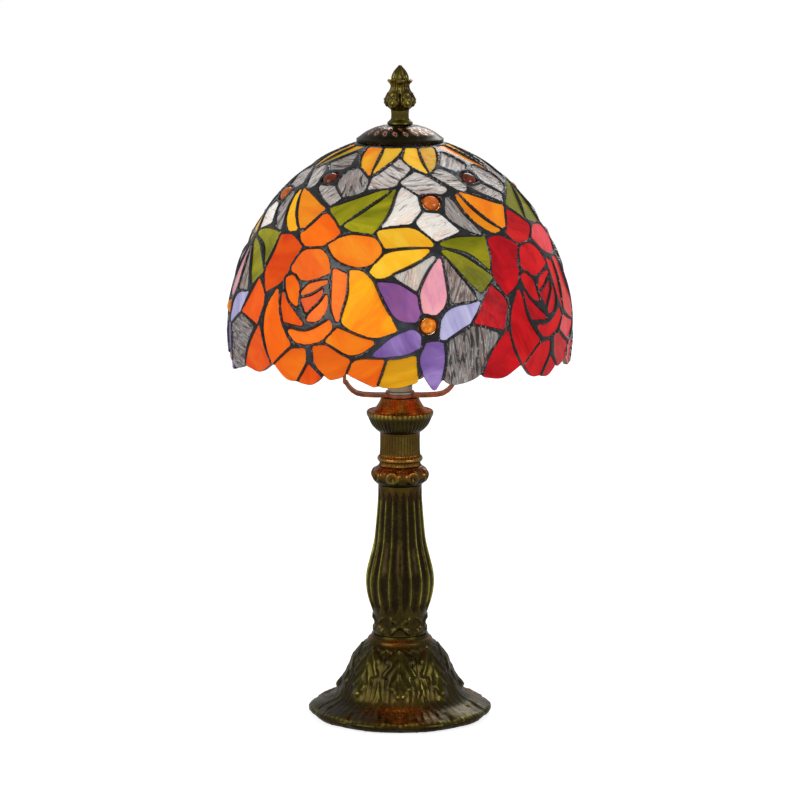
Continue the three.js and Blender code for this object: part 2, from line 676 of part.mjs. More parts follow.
// ---------------------------------------------------------------- cap, ring, washer, finial
function ventedCap() {
  const hole = STUD_RADIUS + GAP;
  const rise = CAP_RISE;
  const inner = CAP_RADIUS - CAP_THICKNESS;
  const flat = SEAT_WASHER_RADIUS + SEAT_MARGIN;
  const geometry = turned(
    [
      [CAP_RADIUS, 0],
      [CAP_RADIUS, 0.12 * rise],
      [0.83 * CAP_RADIUS, 0.56 * rise],
      [0.53 * CAP_RADIUS, 0.9 * rise],
      [flat, rise],
      [hole, rise],
      [hole, rise - CAP_THICKNESS],
      [flat, rise - CAP_THICKNESS],
      [0.53 * inner, 0.9 * rise - CAP_THICKNESS],
      [0.83 * inner, 0.56 * rise - CAP_THICKNESS],
      [inner, 0],
    ],
    24,
  );
  const slots = [];
  for (let i = 0; i < CAP_VENTS; i++) {
    const slot = new THREE.BoxGeometry(1.6, 0.2 * CAP_RADIUS, 3 * rise).translate(0, -0.68 * CAP_RADIUS, 0);
    slots.push(slot.rotateZ((2 * Math.PI * i) / CAP_VENTS));
  }
  const bare = slots.map((slot) => slot.deleteAttribute("normal").deleteAttribute("uv"));
  return cut(geometry, ...bare);
}
add("shade_cap", ventedCap(), darkBronze, capRim);
const ringOutside = onSide(0, PANEL_THICKNESS).x - 2 * GAP;
const ringInside = ringOutside - RING_THICKNESS;
const ringTop = capRim - GAP;
add("shade_ring", ring(ringInside, ringOutside, RING_HEIGHT, 36), brass, ringTop - RING_HEIGHT);
add("seat_washer", ring(STUD_RADIUS + GAP, SEAT_WASHER_RADIUS, SEAT_WASHER_THICKNESS), steel, seatWasherBase);

function finial() {
  const bore = INSERT_RADIUS + GAP;
  const widest = FINIAL_RADIUS;
  const h = FINIAL_HEIGHT;
  return turned(
    [
      [0, INSERT_HEIGHT + GAP],
      [bore, INSERT_HEIGHT + GAP],
      [bore, 0],
      [0.83 * widest, 0],
      [0.83 * widest, 0.05 * h],
      [0.66 * widest, 0.1 * h],
      [0.65 * widest, 0.26 * h],
      [widest, 0.38 * h],
      [0.97 * widest, 0.45 * h],
      [0.64 * widest, 0.63 * h],
      [0.82 * widest, 0.73 * h],
      [0.6 * widest, 0.77 * h],
      [0.48 * widest, 0.87 * h],
      [0, h],
    ],
    24,
  );
}
add("finial", finial(), bronze, finialBase);
add("finial_insert", ring(STUD_RADIUS + GAP, INSERT_RADIUS, INSERT_HEIGHT, 16), brass, finialBase);

// ---------------------------------------------------------------- harp
// The strip's middle line, right half, from the bottom centre to the top centre.
function harpLine() {
  const low = 0.5 * STRIP_THICKNESS;
  const high = HARP_HEIGHT - low;
  const half = HARP_HALF_WIDTH - low;
  const shoulder = ringInside - SHOULDER_CLEARANCE;
  const right = [
    [0.45 * half, low],
    [0.78 * half, low + 1.2],
    [0.97 * half, low + 7.5],
    [half, low + 16],
    [half, 0.6 * HARP_HEIGHT],
    [0.8 * half, 0.8 * HARP_HEIGHT],
    [shoulder, HARP_HEIGHT - SHOULDER_DROP],
    [0.78 * shoulder, high - 2.4],
    [0.59 * shoulder, high],
  ].map(([x, z]) => point(x, z));
  return [point(0, low), ...new THREE.SplineCurve(right).getPoints(24), point(0, high)];
}

function harpStrip() {
  const right = harpLine();
  const offset = (amount) =>
    right.map((p, i) => {
      const before = right[Math.max(0, i - 1)];
      const after = right[Math.min(right.length - 1, i + 1)];
      const along = point(after.x - before.x, after.y - before.y).normalize();
      const x = i === 0 || i === right.length - 1 ? 0 : p.x + along.y * amount;
      return point(x, p.y - along.x * amount);
    });
  const loop = (half) => [...half, ...half.slice(1, -1).reverse().map((p) => point(-p.x, p.y))];
  const shape = new THREE.Shape(loop(offset(0.5 * STRIP_THICKNESS)));
  shape.holes.push(new THREE.Path(loop(offset(-0.5 * STRIP_THICKNESS))));
  const strip = new THREE.ExtrudeGeometry(shape, { depth: STRIP_WIDTH, bevelEnabled: false, curveSegments: 1 })
    .translate(0, 0, -0.5 * STRIP_WIDTH)
    .rotateX(Math.PI / 2);
  const bare = mergeVertices(strip.deleteAttribute("normal").deleteAttribute("uv"), 1e-4);
  return bare;
}

// The strip is widened round the pipe by a flat eye, and drilled at the top for the stud.
function harp() {
  const eye = rod(pipeHole + 3.0, STRIP_THICKNESS, 28).translate(0, 0, 0.5 * STRIP_THICKNESS);
  const pipeDrill = rod(pipeHole, 4 * STRIP_THICKNESS, 20);
  const studDrill = rod(STUD_RADIUS + GAP, 4 * STRIP_THICKNESS, 16).translate(0, 0, HARP_HEIGHT);
  const joined = solidOf(harpStrip()).add(solidOf(eye));
  return geometryOf(joined.subtract(solidOf(pipeDrill)).subtract(solidOf(studDrill)));
}
add("harp", harp(), copper, harpBase);

export default lamp;
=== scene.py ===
"""Leaded-glass table lamp: a shade of roses and flowers over a cast bronze stand.

The packed model is the fixed frame. The pieces here are the shade's solder frame and its cut glass,
the pressed jewels, the pierced cap, the finial and the castings of the stand, with their finishes.
"""

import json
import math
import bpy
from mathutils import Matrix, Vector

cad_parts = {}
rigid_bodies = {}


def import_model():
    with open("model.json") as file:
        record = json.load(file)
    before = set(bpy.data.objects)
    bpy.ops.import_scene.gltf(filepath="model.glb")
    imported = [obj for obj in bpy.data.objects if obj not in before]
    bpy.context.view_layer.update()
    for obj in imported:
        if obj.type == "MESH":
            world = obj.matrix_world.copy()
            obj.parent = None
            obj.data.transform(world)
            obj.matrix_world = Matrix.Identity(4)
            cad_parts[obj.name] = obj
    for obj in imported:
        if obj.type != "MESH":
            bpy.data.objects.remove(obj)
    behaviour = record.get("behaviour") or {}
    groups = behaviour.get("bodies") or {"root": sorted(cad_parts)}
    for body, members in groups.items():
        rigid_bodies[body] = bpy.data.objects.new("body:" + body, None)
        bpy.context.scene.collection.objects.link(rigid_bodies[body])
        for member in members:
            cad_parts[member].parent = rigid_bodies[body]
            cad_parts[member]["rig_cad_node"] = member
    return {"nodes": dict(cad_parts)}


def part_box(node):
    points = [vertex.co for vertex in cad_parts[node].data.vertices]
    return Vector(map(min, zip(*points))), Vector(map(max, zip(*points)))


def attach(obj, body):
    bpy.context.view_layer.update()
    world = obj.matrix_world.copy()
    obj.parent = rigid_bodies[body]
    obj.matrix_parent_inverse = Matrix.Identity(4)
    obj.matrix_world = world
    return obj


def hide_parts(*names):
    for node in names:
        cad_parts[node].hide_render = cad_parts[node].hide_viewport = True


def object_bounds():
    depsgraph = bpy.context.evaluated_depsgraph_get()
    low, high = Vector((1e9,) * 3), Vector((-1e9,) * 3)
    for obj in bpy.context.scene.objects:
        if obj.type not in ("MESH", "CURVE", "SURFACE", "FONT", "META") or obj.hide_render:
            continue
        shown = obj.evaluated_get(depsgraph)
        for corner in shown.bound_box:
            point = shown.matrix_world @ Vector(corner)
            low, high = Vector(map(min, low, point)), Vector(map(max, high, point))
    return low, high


bl_info = {
    "name": "Leaded Glass Table Lamp",
    "version": (1, 0, 0),
    "blender": (4, 5, 0),
    "location": "3D View > Sidebar > Table Lamp",
    "description": "Builds a leaded-glass table lamp round its packed frame",
    "category": "Add Mesh",
}

import bpy
import numpy as np
from bpy.props import FloatProperty, FloatVectorProperty, PointerProperty
from mathutils import Vector
from mathutils.geometry import delaunay_2d_cdt

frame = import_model()
CAD_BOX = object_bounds()
NODES = frame["nodes"]

MM = 0.001
TURN = 360.0
REPEATS = 4  # of the shade's pattern
REPEAT = TURN / REPEATS  # degrees


def low(node):
    """The height of a node's underside, in mm."""
    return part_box(node)[0].z / MM


def high(node):
    """The height of a node's top, in mm."""
    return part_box(node)[1].z / MM


def reach(node):
    """How far a round node reaches from the lamp's axis, in mm."""
    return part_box(node)[1].x / MM


# ------------------------------------------------------------------ settings
def colour(name, description, value):
    return FloatVectorProperty(
        name=name, description=description, subtype="COLOR", size=3, min=0, max=1, default=value
    )


def millimetres(name, description, value):
    return FloatProperty(name=name, description=description, default=value, min=0, max=500, step=10)


def strength(name, description, value):
    return FloatProperty(name=name, description=description, default=value, min=0)


class LampShadeSettings(bpy.types.PropertyGroup):
    """Sizes of the shade, in millimetres."""

    lead_width: millimetres("Lead width", "Width of the solder between two pieces of glass, in mm", 2.25)
    bead_height: millimetres("Bead height", "How far the solder stands proud of the glass, in mm", 1.1)
    edge_width: millimetres("Edge width", "Width of the solder round the rim, in mm", 1.7)
    glass_thickness: millimetres("Glass thickness", "Thickness of the glass, in mm", 2.8)
    flatness: millimetres("Flatness", "How far a flat piece may leave the dome, in mm", 0.5)


class LampGlassColours(bpy.types.PropertyGroup):
    """Main colours of the glass, as linear values."""

    orange: colour("Orange", "Orange rose", (0.94, 0.135, 0.006))
    red: colour("Red", "Red rose", (0.74, 0.008, 0.014))
    amber: colour("Amber", "Tulips at the top", (0.94, 0.34, 0.010))
    yellow: colour("Yellow", "Leaves beside the flower", (0.92, 0.46, 0.010))
    green: colour("Green", "Leaves", (0.22, 0.22, 0.006))
    violet: colour("Violet", "Lower petals of the flower", (0.21, 0.11, 0.37))
    lilac: colour("Lilac", "Side petal of the flower", (0.44, 0.41, 0.63))
    magenta: colour("Magenta", "Left petal of the flower", (0.28, 0.09, 0.235))
    pink: colour("Pink", "Upper petal of the flower", (0.87, 0.37, 0.39))


class LampMetalColours(bpy.types.PropertyGroup):
    """Colours of the castings, as linear values."""

    recess: colour("Recess", "Dark patina in the hollows", (0.020, 0.0115, 0.0045))
    body: colour("Body", "Patina on the faces", (0.062, 0.048, 0.0085))
    ridge: colour("Ridge", "Rubbed edges", (0.31, 0.28, 0.045))
    # painted warm light: the colour that stands in for the bulb's light falling on the foot, column and
    # collar
    painted_light_colour: colour("Warm patch", "Orange-brown blush", (0.28, 0.115, 0.018))


class LampStageSettings(bpy.types.PropertyGroup):
    """The stage round the lamp."""

    background: strength("Background", "Strength of the white surround", 1.0)
    bulb_light: strength("Bulb light", "Strength of the bulb's glow", 9.0)
    lens: FloatProperty(name="Lens", description="Focal length, in mm", default=163.6, min=1)


def shade_settings():
    return bpy.context.scene.lamp_shade


def glass_colours():
    return bpy.context.scene.lamp_glass


def metal_colours():
    return bpy.context.scene.lamp_metal


def stage_settings():
    return bpy.context.scene.lamp_stage


# ------------------------------------------------------------------ meshes
def deselect_all():
    if bpy.context.object and bpy.context.object.mode != "OBJECT":
        bpy.ops.object.mode_set(mode="OBJECT")
    bpy.ops.object.select_all(action="DESELECT")


def make_active(piece):
    deselect_all()
    piece.select_set(True)
    bpy.context.view_layer.objects.active = piece


def mesh_piece(name, points, faces, smooth):
    """A new object from points in mm, shaded smooth up to an angle in degrees."""
    mesh = bpy.data.meshes.new(name)
    mesh.from_pydata((np.asarray(points) * MM).tolist(), [], faces)
    mesh.validate()
    piece = bpy.data.objects.new(name, mesh)
    bpy.context.scene.collection.objects.link(piece)
    make_active(piece)
    bpy.ops.object.shade_smooth_by_angle(angle=math.radians(smooth))
    return piece


def add_attribute(piece, name, values, kind="FLOAT"):
    """Stores one number, or one vector, for each vertex."""
    attribute = piece.data.attributes.new(name, kind, "POINT")
    field = "vector" if kind == "FLOAT_VECTOR" else "value"
    attribute.data.foreach_set(field, np.asarray(values, np.float32).ravel())


def vertex_places(piece):
    """The piece's vertices in mm, as an array."""
    places = np.empty(len(piece.data.vertices) * 3)
    piece.data.vertices.foreach_get("co", places)
    return places.reshape(-1, 3) / MM


def move_vertices(piece, places):
    piece.data.vertices.foreach_set("co", (np.asarray(places) * MM).ravel())
    piece.data.update()


def give(piece, material, body):
    """Paints the piece and lets it ride on a body of the frame."""
    piece.data.materials.clear()
    piece.data.materials.append(material)
    if "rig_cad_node" not in piece:
        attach(piece, body)
    return piece


# ------------------------------------------------------------------ material nodes
class Finish:
    """A new material, with short ways to add the nodes that these finishes share."""

    def __init__(self, name):
        self.material = bpy.data.materials.new(name)
        self.material.use_nodes = True
        self.nodes = self.material.node_tree.nodes
        self.links = self.material.node_tree.links
        self.shader = self.nodes["Principled BSDF"]

    def node(self, kind, **settings):
        made = self.nodes.new(kind)
        for key, value in settings.items():
            setattr(made, key, value)
        return made

    def join(self, output, target):
        """Links a node's output, or sets a plain value, on a socket."""
        if isinstance(output, bpy.types.NodeSocket):
            self.links.new(output, target)
        else:
            target.default_value = output

    def set(self, **values):
        """Sets the shader's sockets. Underscores stand for spaces."""
        for key, value in values.items():
            self.join(value, self.shader.inputs[key.replace("_", " ")])

    def place(self, scale=(1, 1, 1), attribute=None):
        """Object coordinates, or a vector attribute, stretched by a mapping."""
        if attribute:
            source = self.node("ShaderNodeAttribute", attribute_name=attribute).outputs["Vector"]
        else:
            source = self.node("ShaderNodeTexCoord").outputs["Object"]
        mapping = self.node("ShaderNodeMapping")
        mapping.inputs["Scale"].default_value = scale
        self.join(source, mapping.inputs["Vector"])
        return mapping.outputs["Vector"]

    def noise(self, where, scale, detail=4.0, roughness=0.55, distortion=0.0):
        made = self.node("ShaderNodeTexNoise")
        self.join(where, made.inputs["Vector"])
        made.inputs["Scale"].default_value = scale
        made.inputs["Detail"].default_value = detail
        made.inputs["Roughness"].default_value = roughness
        made.inputs["Distortion"].default_value = distortion
        return made.outputs["Fac"]

    def number(self, name):
        return self.node("ShaderNodeAttribute", attribute_name=name).outputs["Fac"]

    def maths(self, operation, a, b):
        made = self.node("ShaderNodeMath", operation=operation)
        self.join(a, made.inputs[0])
        self.join(b, made.inputs[1])
        return made.outputs[0]

    def spread(self, value, low_end, high_end, start=0.0, end=1.0):
        """Maps low_end..high_end smoothly to start..end."""
        made = self.node("ShaderNodeMapRange", interpolation_type="SMOOTHSTEP")
        self.join(value, made.inputs["Value"])
        limits = {"From Min": low_end, "From Max": high_end, "To Min": start, "To Max": end}
        for socket, number in limits.items():
            made.inputs[socket].default_value = number
        return made.outputs["Result"]

    def mix(self, factor, a, b):
        made = self.node("ShaderNodeMix", data_type="RGBA")
        self.join(factor, made.inputs["Factor"])
        colours = [socket for socket in made.inputs if socket.type == "RGBA"]
        self.join(a, colours[0])
        self.join(b, colours[1])
        return [socket for socket in made.outputs if socket.type == "RGBA"][0]

    def bump(self, height, strength, distance):
        made = self.node("ShaderNodeBump")
        made.inputs["Strength"].default_value = strength
        made.inputs["Distance"].default_value = distance * MM
        self.join(height, made.inputs["Height"])
        self.join(made.outputs["Normal"], self.shader.inputs["Normal"])


def rgb(value, lift=1.0):
    """A colour socket's value, brighter or darker by a factor."""
    return (*[min(1.0, part * lift) for part in value], 1.0)


# ------------------------------------------------------------------ the shade's dome
# Angles are degrees round the axis from the front, towards +X. Drops are mm down the outside of the
# dome from a circle of START_RADIUS near the top.
DOME_RADIUS = CAD_BOX[1][0] / MM
WIDEST = 232.0
DOME_RISE = 110.0
DOME_SQUARENESS = 1.067
SKIRT_REACH = 120.0
START_RADIUS = 26.0
DOME_TOP, DOME_FOOT = 82.0, -20.0  # tilts where the curve is cut off, in degrees


def dome_curve():
    """Drop, radius, height and the outward direction's two parts, along the dome's outer curve."""
    tilt = np.radians(np.linspace(DOME_TOP, DOME_FOOT, 1600))
    radius = DOME_RADIUS * np.cos(tilt)
    rise = np.abs(np.sin(tilt))
    height = np.where(tilt > 0, WIDEST + DOME_RISE * rise**DOME_SQUARENESS, WIDEST - SKIRT_REACH * rise)
    drop = np.concatenate([[0.0], np.cumsum(np.hypot(np.diff(radius), np.diff(height)))])
    start = np.argmin(np.abs(radius[tilt > 0] - START_RADIUS))
    drop -= drop[start]
    across, down = np.gradient(radius, drop), np.gradient(height, drop)
    return drop, radius, height, -down, across


DROP, RADIUS, HEIGHT, OUT_ACROSS, OUT_UP = dome_curve()


def dome_radius(drop):
    return np.interp(drop, DROP, RADIUS)


def mm_per_degree(drop):
    """The length of one degree round the dome at a drop."""
    return np.radians(1.0) * dome_radius(drop)


def on_dome(angle, drop, lift=0.0):
    """Points at a lift in mm from the dome's outer surface."""
    across = np.interp(drop, DROP, OUT_ACROSS)
    up = np.interp(drop, DROP, OUT_UP)
    radius = dome_radius(drop) + lift * across
    turn = np.radians(angle)
    height = np.interp(drop, DROP, HEIGHT) + lift * up
    return np.stack([radius * np.sin(turn), -radius * np.cos(turn), height], axis=-1)


def outward(angle, drop):
    turn = np.radians(angle)
    across = np.interp(drop, DROP, OUT_ACROSS)
    return np.stack([across * np.sin(turn), -across * np.cos(turn), np.interp(drop, DROP, OUT_UP)], axis=-1)


# ------------------------------------------------------------------ the shade's pattern
# One repeat: each piece of glass as its kind and its outline, in degrees and drops, drawn on a dome that
# hangs askew by LEAN mm at LEAN_DROP and levelled to the nearest tenth before it is used.
PATTERN = [
    ("amber_orange", ((-37, 2), (-23, 2), (-20.7, 9), (-19.8, 28.8), (-27, 21.6), (-34, 11))),
    ("amber", ((-16.6, 2), (0, 2), (-3.6, 8.6), (-9, 15.9), (-16.4, 26.9), (-16.8, 14))),
    ("amber", ((8.5, 2), (19, 2), (17.5, 11.5), (17.2, 27), (10, 21), (4.5, 13.7))),
    ("olive_yellow", ((24, 2), (40, 2), (35, 8.6), (28, 17.3), (20, 26.3), (19.6, 18), (21.4, 8.6))),
    ("streaky", ((0, 15.5), (5.4, 23.5), (0, 31.5), (-3.6, 37), (-16.2, 39.6), (-15.3, 30.2), (-9, 23))),
    ("streaky", ((9.9, 27.4), (16.2, 31), (24.3, 41.3), (21.6, 43.4), (9.9, 43.6), (0.9, 34.8))),
    ("streaky", (
        (22.5, 27.4), (27.9, 25.6), (33.3, 29.5), (37.4, 39.6), (34.2, 43.5), (29.7, 38.9), (21.6, 29.5),
    )),
    ("streaky", ((43.5, 9.5), (47, 13), (51.3, 23), (46, 26.2), (39.6, 26.4), (31.6, 21.6), (37, 15))),
    ("streaky", ((55.8, 27.4), (62.1, 25.9), (70.2, 35), (69.3, 43.2), (61.2, 46.8), (54, 37.4))),
    ("streaky", ((40.5, 39.6), (48.6, 39.2), (54, 43.2), (59, 49), (56.2, 53.3), (48.6, 47.5))),
    ("streaky_white", (
        (1.5, 40.3), (5.6, 43.2), (8.8, 49.7), (8.6, 55.5), (5.9, 61.5), (0, 64.3), (-6.7, 65.8),
        (-3.6, 56.2), (-1.5, 46),
    )),
    ("streaky_white", ((11.7, 57.6), (17.1, 59), (23.4, 69.9), (14.4, 74.5), (9.9, 69), (7, 62))),
    ("streaky", ((23.6, 48.5), (27, 53.3), (33.3, 72.7), (26.1, 66.3), (21.6, 59))),
    ("bud_yellow", ((29.5, 46.8), (35.8, 60), (43.6, 71.5), (40, 72), (33, 63.4), (29.9, 56.2))),
    ("bud_orange", (
        (32.2, 45.4), (43.2, 50.4), (54.5, 58.3), (50.4, 67.7), (48.4, 72.7), (42.8, 67), (36.4, 55),
    )),
    ("green", (
        (-5.4, 41.8), (-14.4, 44.2), (-25.2, 50), (-32, 55.5), (-25.6, 65), (-20.2, 57.4), (-12.8, 48.6),
    )),
    ("green", (
        (-3.1, 41.8), (-4.5, 51.9), (-7.2, 60.5), (-11.7, 69.9), (-18, 68.4), (-23, 65.5), (-17.8, 58.5),
        (-10.6, 50.1),
    )),
    ("yellow", ((-8.3, 69.9), (-3.6, 66.9), (3.6, 67.4), (9, 71.3), (12, 77.8), (3.6, 77.4), (-5.4, 78))),
    ("yellow", ((10.2, 81.2), (0, 81.2), (-6.3, 84.5), (-9.9, 92.9), (-7.2, 95.6), (0, 91.3), (5.4, 87.1))),
    ("green", ((16.2, 77.6), (23.4, 74.8), (34.7, 75.8), (35, 86.2), (33.6, 93.8), (27, 83.3))),
    ("green", ((16.4, 82.3), (23.4, 86), (29.7, 93.8), (33.1, 99.4), (28.4, 106.2), (22.7, 96.3))),
    ("streaky_white", ((12.2, 85.7), (5.4, 90.2), (-1.4, 95.2), (5.2, 103.3), (8.8, 93.6))),
    ("streaky_brown", ((16.4, 86.8), (21.4, 97.9), (25.5, 110.7), (18, 111), (16.9, 99.4))),
    ("pink", (
        (14.4, 87.3), (15.8, 100.8), (14.4, 112.3), (10.8, 118), (7.9, 115), (7.4, 106.6), (10.1, 95),
    )),
    ("magenta", (
        (-7.2, 100.2), (-0.9, 101), (5, 107.3), (6, 115.2), (5.6, 120.6), (0, 119.3), (-4.3, 110.9),
    )),
    ("lilac", ((26.8, 113.4), (24.1, 122.2), (18.9, 129.2), (13.5, 131.4), (13.9, 122.6), (17.3, 116.1))),
    ("violet", ((-7.9, 139.3), (-2.7, 131.2), (3.4, 127.1), (6, 128.4), (6, 135.2), (0, 140))),
    ("violet", (
        (9, 134.3), (13.3, 134.3), (14.7, 144), (13.3, 152.7), (11.3, 159.6), (8.3, 151.2), (7, 142.6),
    )),
    ("streaky_grey", (
        (23.4, 127), (33, 132.2), (27.9, 146.7), (26, 153.6), (18, 157.2), (15.2, 155), (15.6, 141.1),
        (16.5, 132.9),
    )),
    ("amber_dark", ((-3.4, 142.9), (4.5, 141.5), (5.2, 154.6), (-0.9, 157.3), (-6.1, 156.6), (-4.9, 150))),
    ("rose", ((-14.2, 143.6), (-5.6, 143.2), (-6.9, 151.2), (-8.3, 156.6), (-16.4, 149.8))),
    ("rose", ((-36, 58), (-29, 63.2), (-25.4, 70.4), (-28.8, 75.9), (-38.2, 78.1), (-43.4, 70.6))),
    ("rose_light", (
        (-27.7, 77.2), (-20.7, 72.4), (-13.5, 71.7), (-8.7, 76.5), (-7.8, 82.8), (-11, 87.7),
        (-16.4, 88.9), (-23.4, 84.8),
    )),
    ("rose", (
        (-42.1, 91.8), (-38.2, 83), (-32.4, 81.1), (-28.1, 85.2), (-25.9, 93.2), (-32.4, 97.5),
        (-36.9, 97.5),
    )),
    ("rose_deep", ((-53.8, 75.3), (-47.7, 74.6), (-40.7, 80.1), (-45, 99), (-51.6, 106), (-55.1, 93.6))),
    ("rose_deep", ((-57.4, 102), (-52.6, 111.1), (-54.5, 124.8), (-64.9, 120))),
    ("rose_deep", ((-53.1, 128), (-47.9, 146.7), (-54, 151.6), (-61.2, 150.1), (-58.8, 139))),
    ("rose", (
        (-46.1, 106.4), (-50.2, 119.5), (-49.8, 133.8), (-46.1, 146.3), (-38.6, 134.9), (-43.2, 122.8),
    )),
    ("rose_light", (
        (-20.5, 125.7), (-14.4, 129.3), (-8.9, 132.7), (-13.5, 137.9), (-18.7, 137.9), (-23.9, 131.8),
    )),
    ("rose_gold", (
        (-17.3, 93.3), (-13.5, 94), (-9.2, 100.8), (-5.6, 112.3), (-1.7, 125.6), (-9, 128.5),
        (-17.8, 122.2), (-18.7, 115.2), (-17.3, 103.7),
    )),
    ("rose", ((-23.6, 92.6), (-19.1, 95.2), (-18.6, 108), (-20.7, 119.9), (-22.7, 112.3))),
    ("rose", ((-38.3, 127.9), (-31.5, 127.9), (-23.6, 121.6), (-23.2, 125), (-27.9, 132.1), (-35, 132.8))),
    ("rose", (
        (-32.6, 137.9), (-37.6, 138.7), (-44.6, 146.9), (-40.3, 153.7), (-36.2, 154.4), (-32.7, 144),
    )),
    ("rose_deep", ((-31, 146.8), (-27.3, 152.5), (-30.6, 155.9), (-34.8, 155.3))),
    ("rose", (
        (-28.6, 135.8), (-23.5, 135.8), (-16.9, 142.7), (-19, 150.2), (-23.4, 152.6), (-27.8, 145.3),
    )),
    ("rose", ((-43, 98.4), (-39.6, 97), (-37.1, 103.7), (-36.7, 112.5), (-40.4, 109.2))),
    ("rose_deep", ((-43, 107.4), (-39.8, 114), (-34, 123.2), (-41, 122), (-42.5, 115.2))),
    ("rose", ((-35, 106.6), (-32.4, 101.3), (-26.2, 99.1), (-31.3, 105.6))),
    ("rose_deep", ((-34.5, 109.8), (-27.4, 103.8), (-28.2, 109.3), (-32.4, 115.6))),
    ("rose", ((-31.4, 120.6), (-30.4, 116.7), (-25.5, 107.6), (-25.4, 113.8), (-27.9, 119.9))),
]
LEAN, LEAN_DROP = 3.2, 150
SHARP = 62.0  # degrees of turn past which an outline keeps a corner
JEWEL_KINDS = ("upper_jewel", "middle_jewel", "flower_jewel")
JEWEL_GAP = 0.3
OUTLINE_STEP = 1.2
GRID_TURN, GRID_DROP = 0.3, 0.5  # of the grid of distances, in degrees and mm
GRID_TOP, GRID_FOOT = -6.0, 166.0
FAR = 50.0
NEAR_MARGIN = 7.0  # mm round a piece in which its distance is worked out
GROWTH = 0.8  # most that a piece grows past its outline, in mm
TOP_EDGE = -3.6  # drop of the solder's upper edge
RIM_ZONE = 143.0  # drop past which the rim follows the glass


def jewel_middle(kind, number):
    """The middle of one of the frame's jewels in mm, and its angle."""
    least, most = (np.array(corner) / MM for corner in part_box(f"{kind}_{number}"))
    middle = 0.5 * (least + most)
    return middle, math.degrees(math.atan2(middle[0], -middle[1]))


def jewel_places():
    """Kind, angle, drop and radius of the jewels in the first repeat, from the frame."""
    found = []
    for kind in JEWEL_KINDS:
        middle, angle = jewel_middle(kind, 1)
        points = on_dome(np.full(len(DROP), angle), DROP)
        drop = DROP[np.argmin(np.linalg.norm(points - middle, axis=1))]
        corners = vertex_places(NODES[f"{kind}_1"])
        radius = max(np.linalg.norm(corners - middle, axis=1))
        found.append((kind, angle, float(drop), float(radius)))
    return found


def curve_between(t, start, leave, end, arrive):
    """Points from start to end, along the directions leave and arrive at its ends."""
    return (
        (2 * t**3 - 3 * t**2 + 1) * start
        + (t**3 - 2 * t**2 + t) * leave
        + (3 * t**2 - 2 * t**3) * end
        + (t**3 - t**2) * arrive
    )


def levelled(points):
    """The outline on a dome that hangs straight."""
    level = []
    for angle, drop in points:
        shift = -LEAN * math.sin(math.radians(angle)) * min(1, drop / LEAN_DROP)
        level.append((angle, round(drop + shift, 1)))
    return level


def smooth_outline(points):
    """A closed curve through the points, straight into those where the outline turns sharply."""
    points = np.array(points, float)
    stretch = mm_per_degree(points[:, 1].mean())
    flat = points * (stretch, 1.0)
    count = len(flat)
    chord = np.roll(flat, -1, 0) - flat
    length = np.hypot(*chord.T)
    along = chord / length[:, None]
    before = np.roll(along, 1, 0)
    turn = np.degrees(np.arccos(np.clip((along * before).sum(1), -1, 1)))
    tangent = along * length[:, None] + before * np.roll(length, 1)[:, None]
    tangent /= np.hypot(*tangent.T)[:, None]
    curve = []
    for i in range(count):
        j = (i + 1) % count
        leave = along[i] if turn[i] > SHARP else tangent[i]
        arrive = along[i] if turn[j] > SHARP else tangent[j]
        t = np.linspace(0, 1, max(2, round(length[i] / OUTLINE_STEP)), endpoint=False)[:, None]
        curve.append(curve_between(t, flat[i], leave * length[i], flat[j], arrive * length[i]))
    return np.concatenate(curve) / (stretch, 1.0)


def round_outline(angle, drop, radius):
    turn = np.radians(np.arange(0, TURN, 15))
    wide = radius / mm_per_degree(drop)
    return np.stack([angle + wide * np.cos(turn), drop + radius * np.sin(turn)], axis=1)


def signed_distance(outline, angles, drops):
    """Distance in mm from each grid point to the outline, negative inside."""
    stretch = mm_per_degree(drops)[:, None]
    inside = np.zeros((len(drops), len(angles)), bool)
    nearest = np.full(inside.shape, FAR * FAR)
    for (a0, d0), (a1, d1) in zip(outline, np.roll(outline, -1, 0)):
        x0, x1 = (a0 - angles[None, :]) * stretch, (a1 - angles[None, :]) * stretch
        y0, y1 = (d0 - drops)[:, None], (d1 - drops)[:, None]
        dx, dy = x1 - x0, y1 - y0
        t = np.clip(-(x0 * dx + y0 * dy) / (dx * dx + dy * dy + 1e-12), 0, 1)
        nearest = np.minimum(nearest, (x0 + t * dx) ** 2 + (y0 + t * dy) ** 2)
        if d0 != d1:
            crosses = (y0 > 0) != (y1 > 0)
            inside ^= crosses & (x0 - y0 * dx / (dy + (dy == 0)) > 0)
    return np.where(inside, -1, 1) * np.sqrt(nearest)


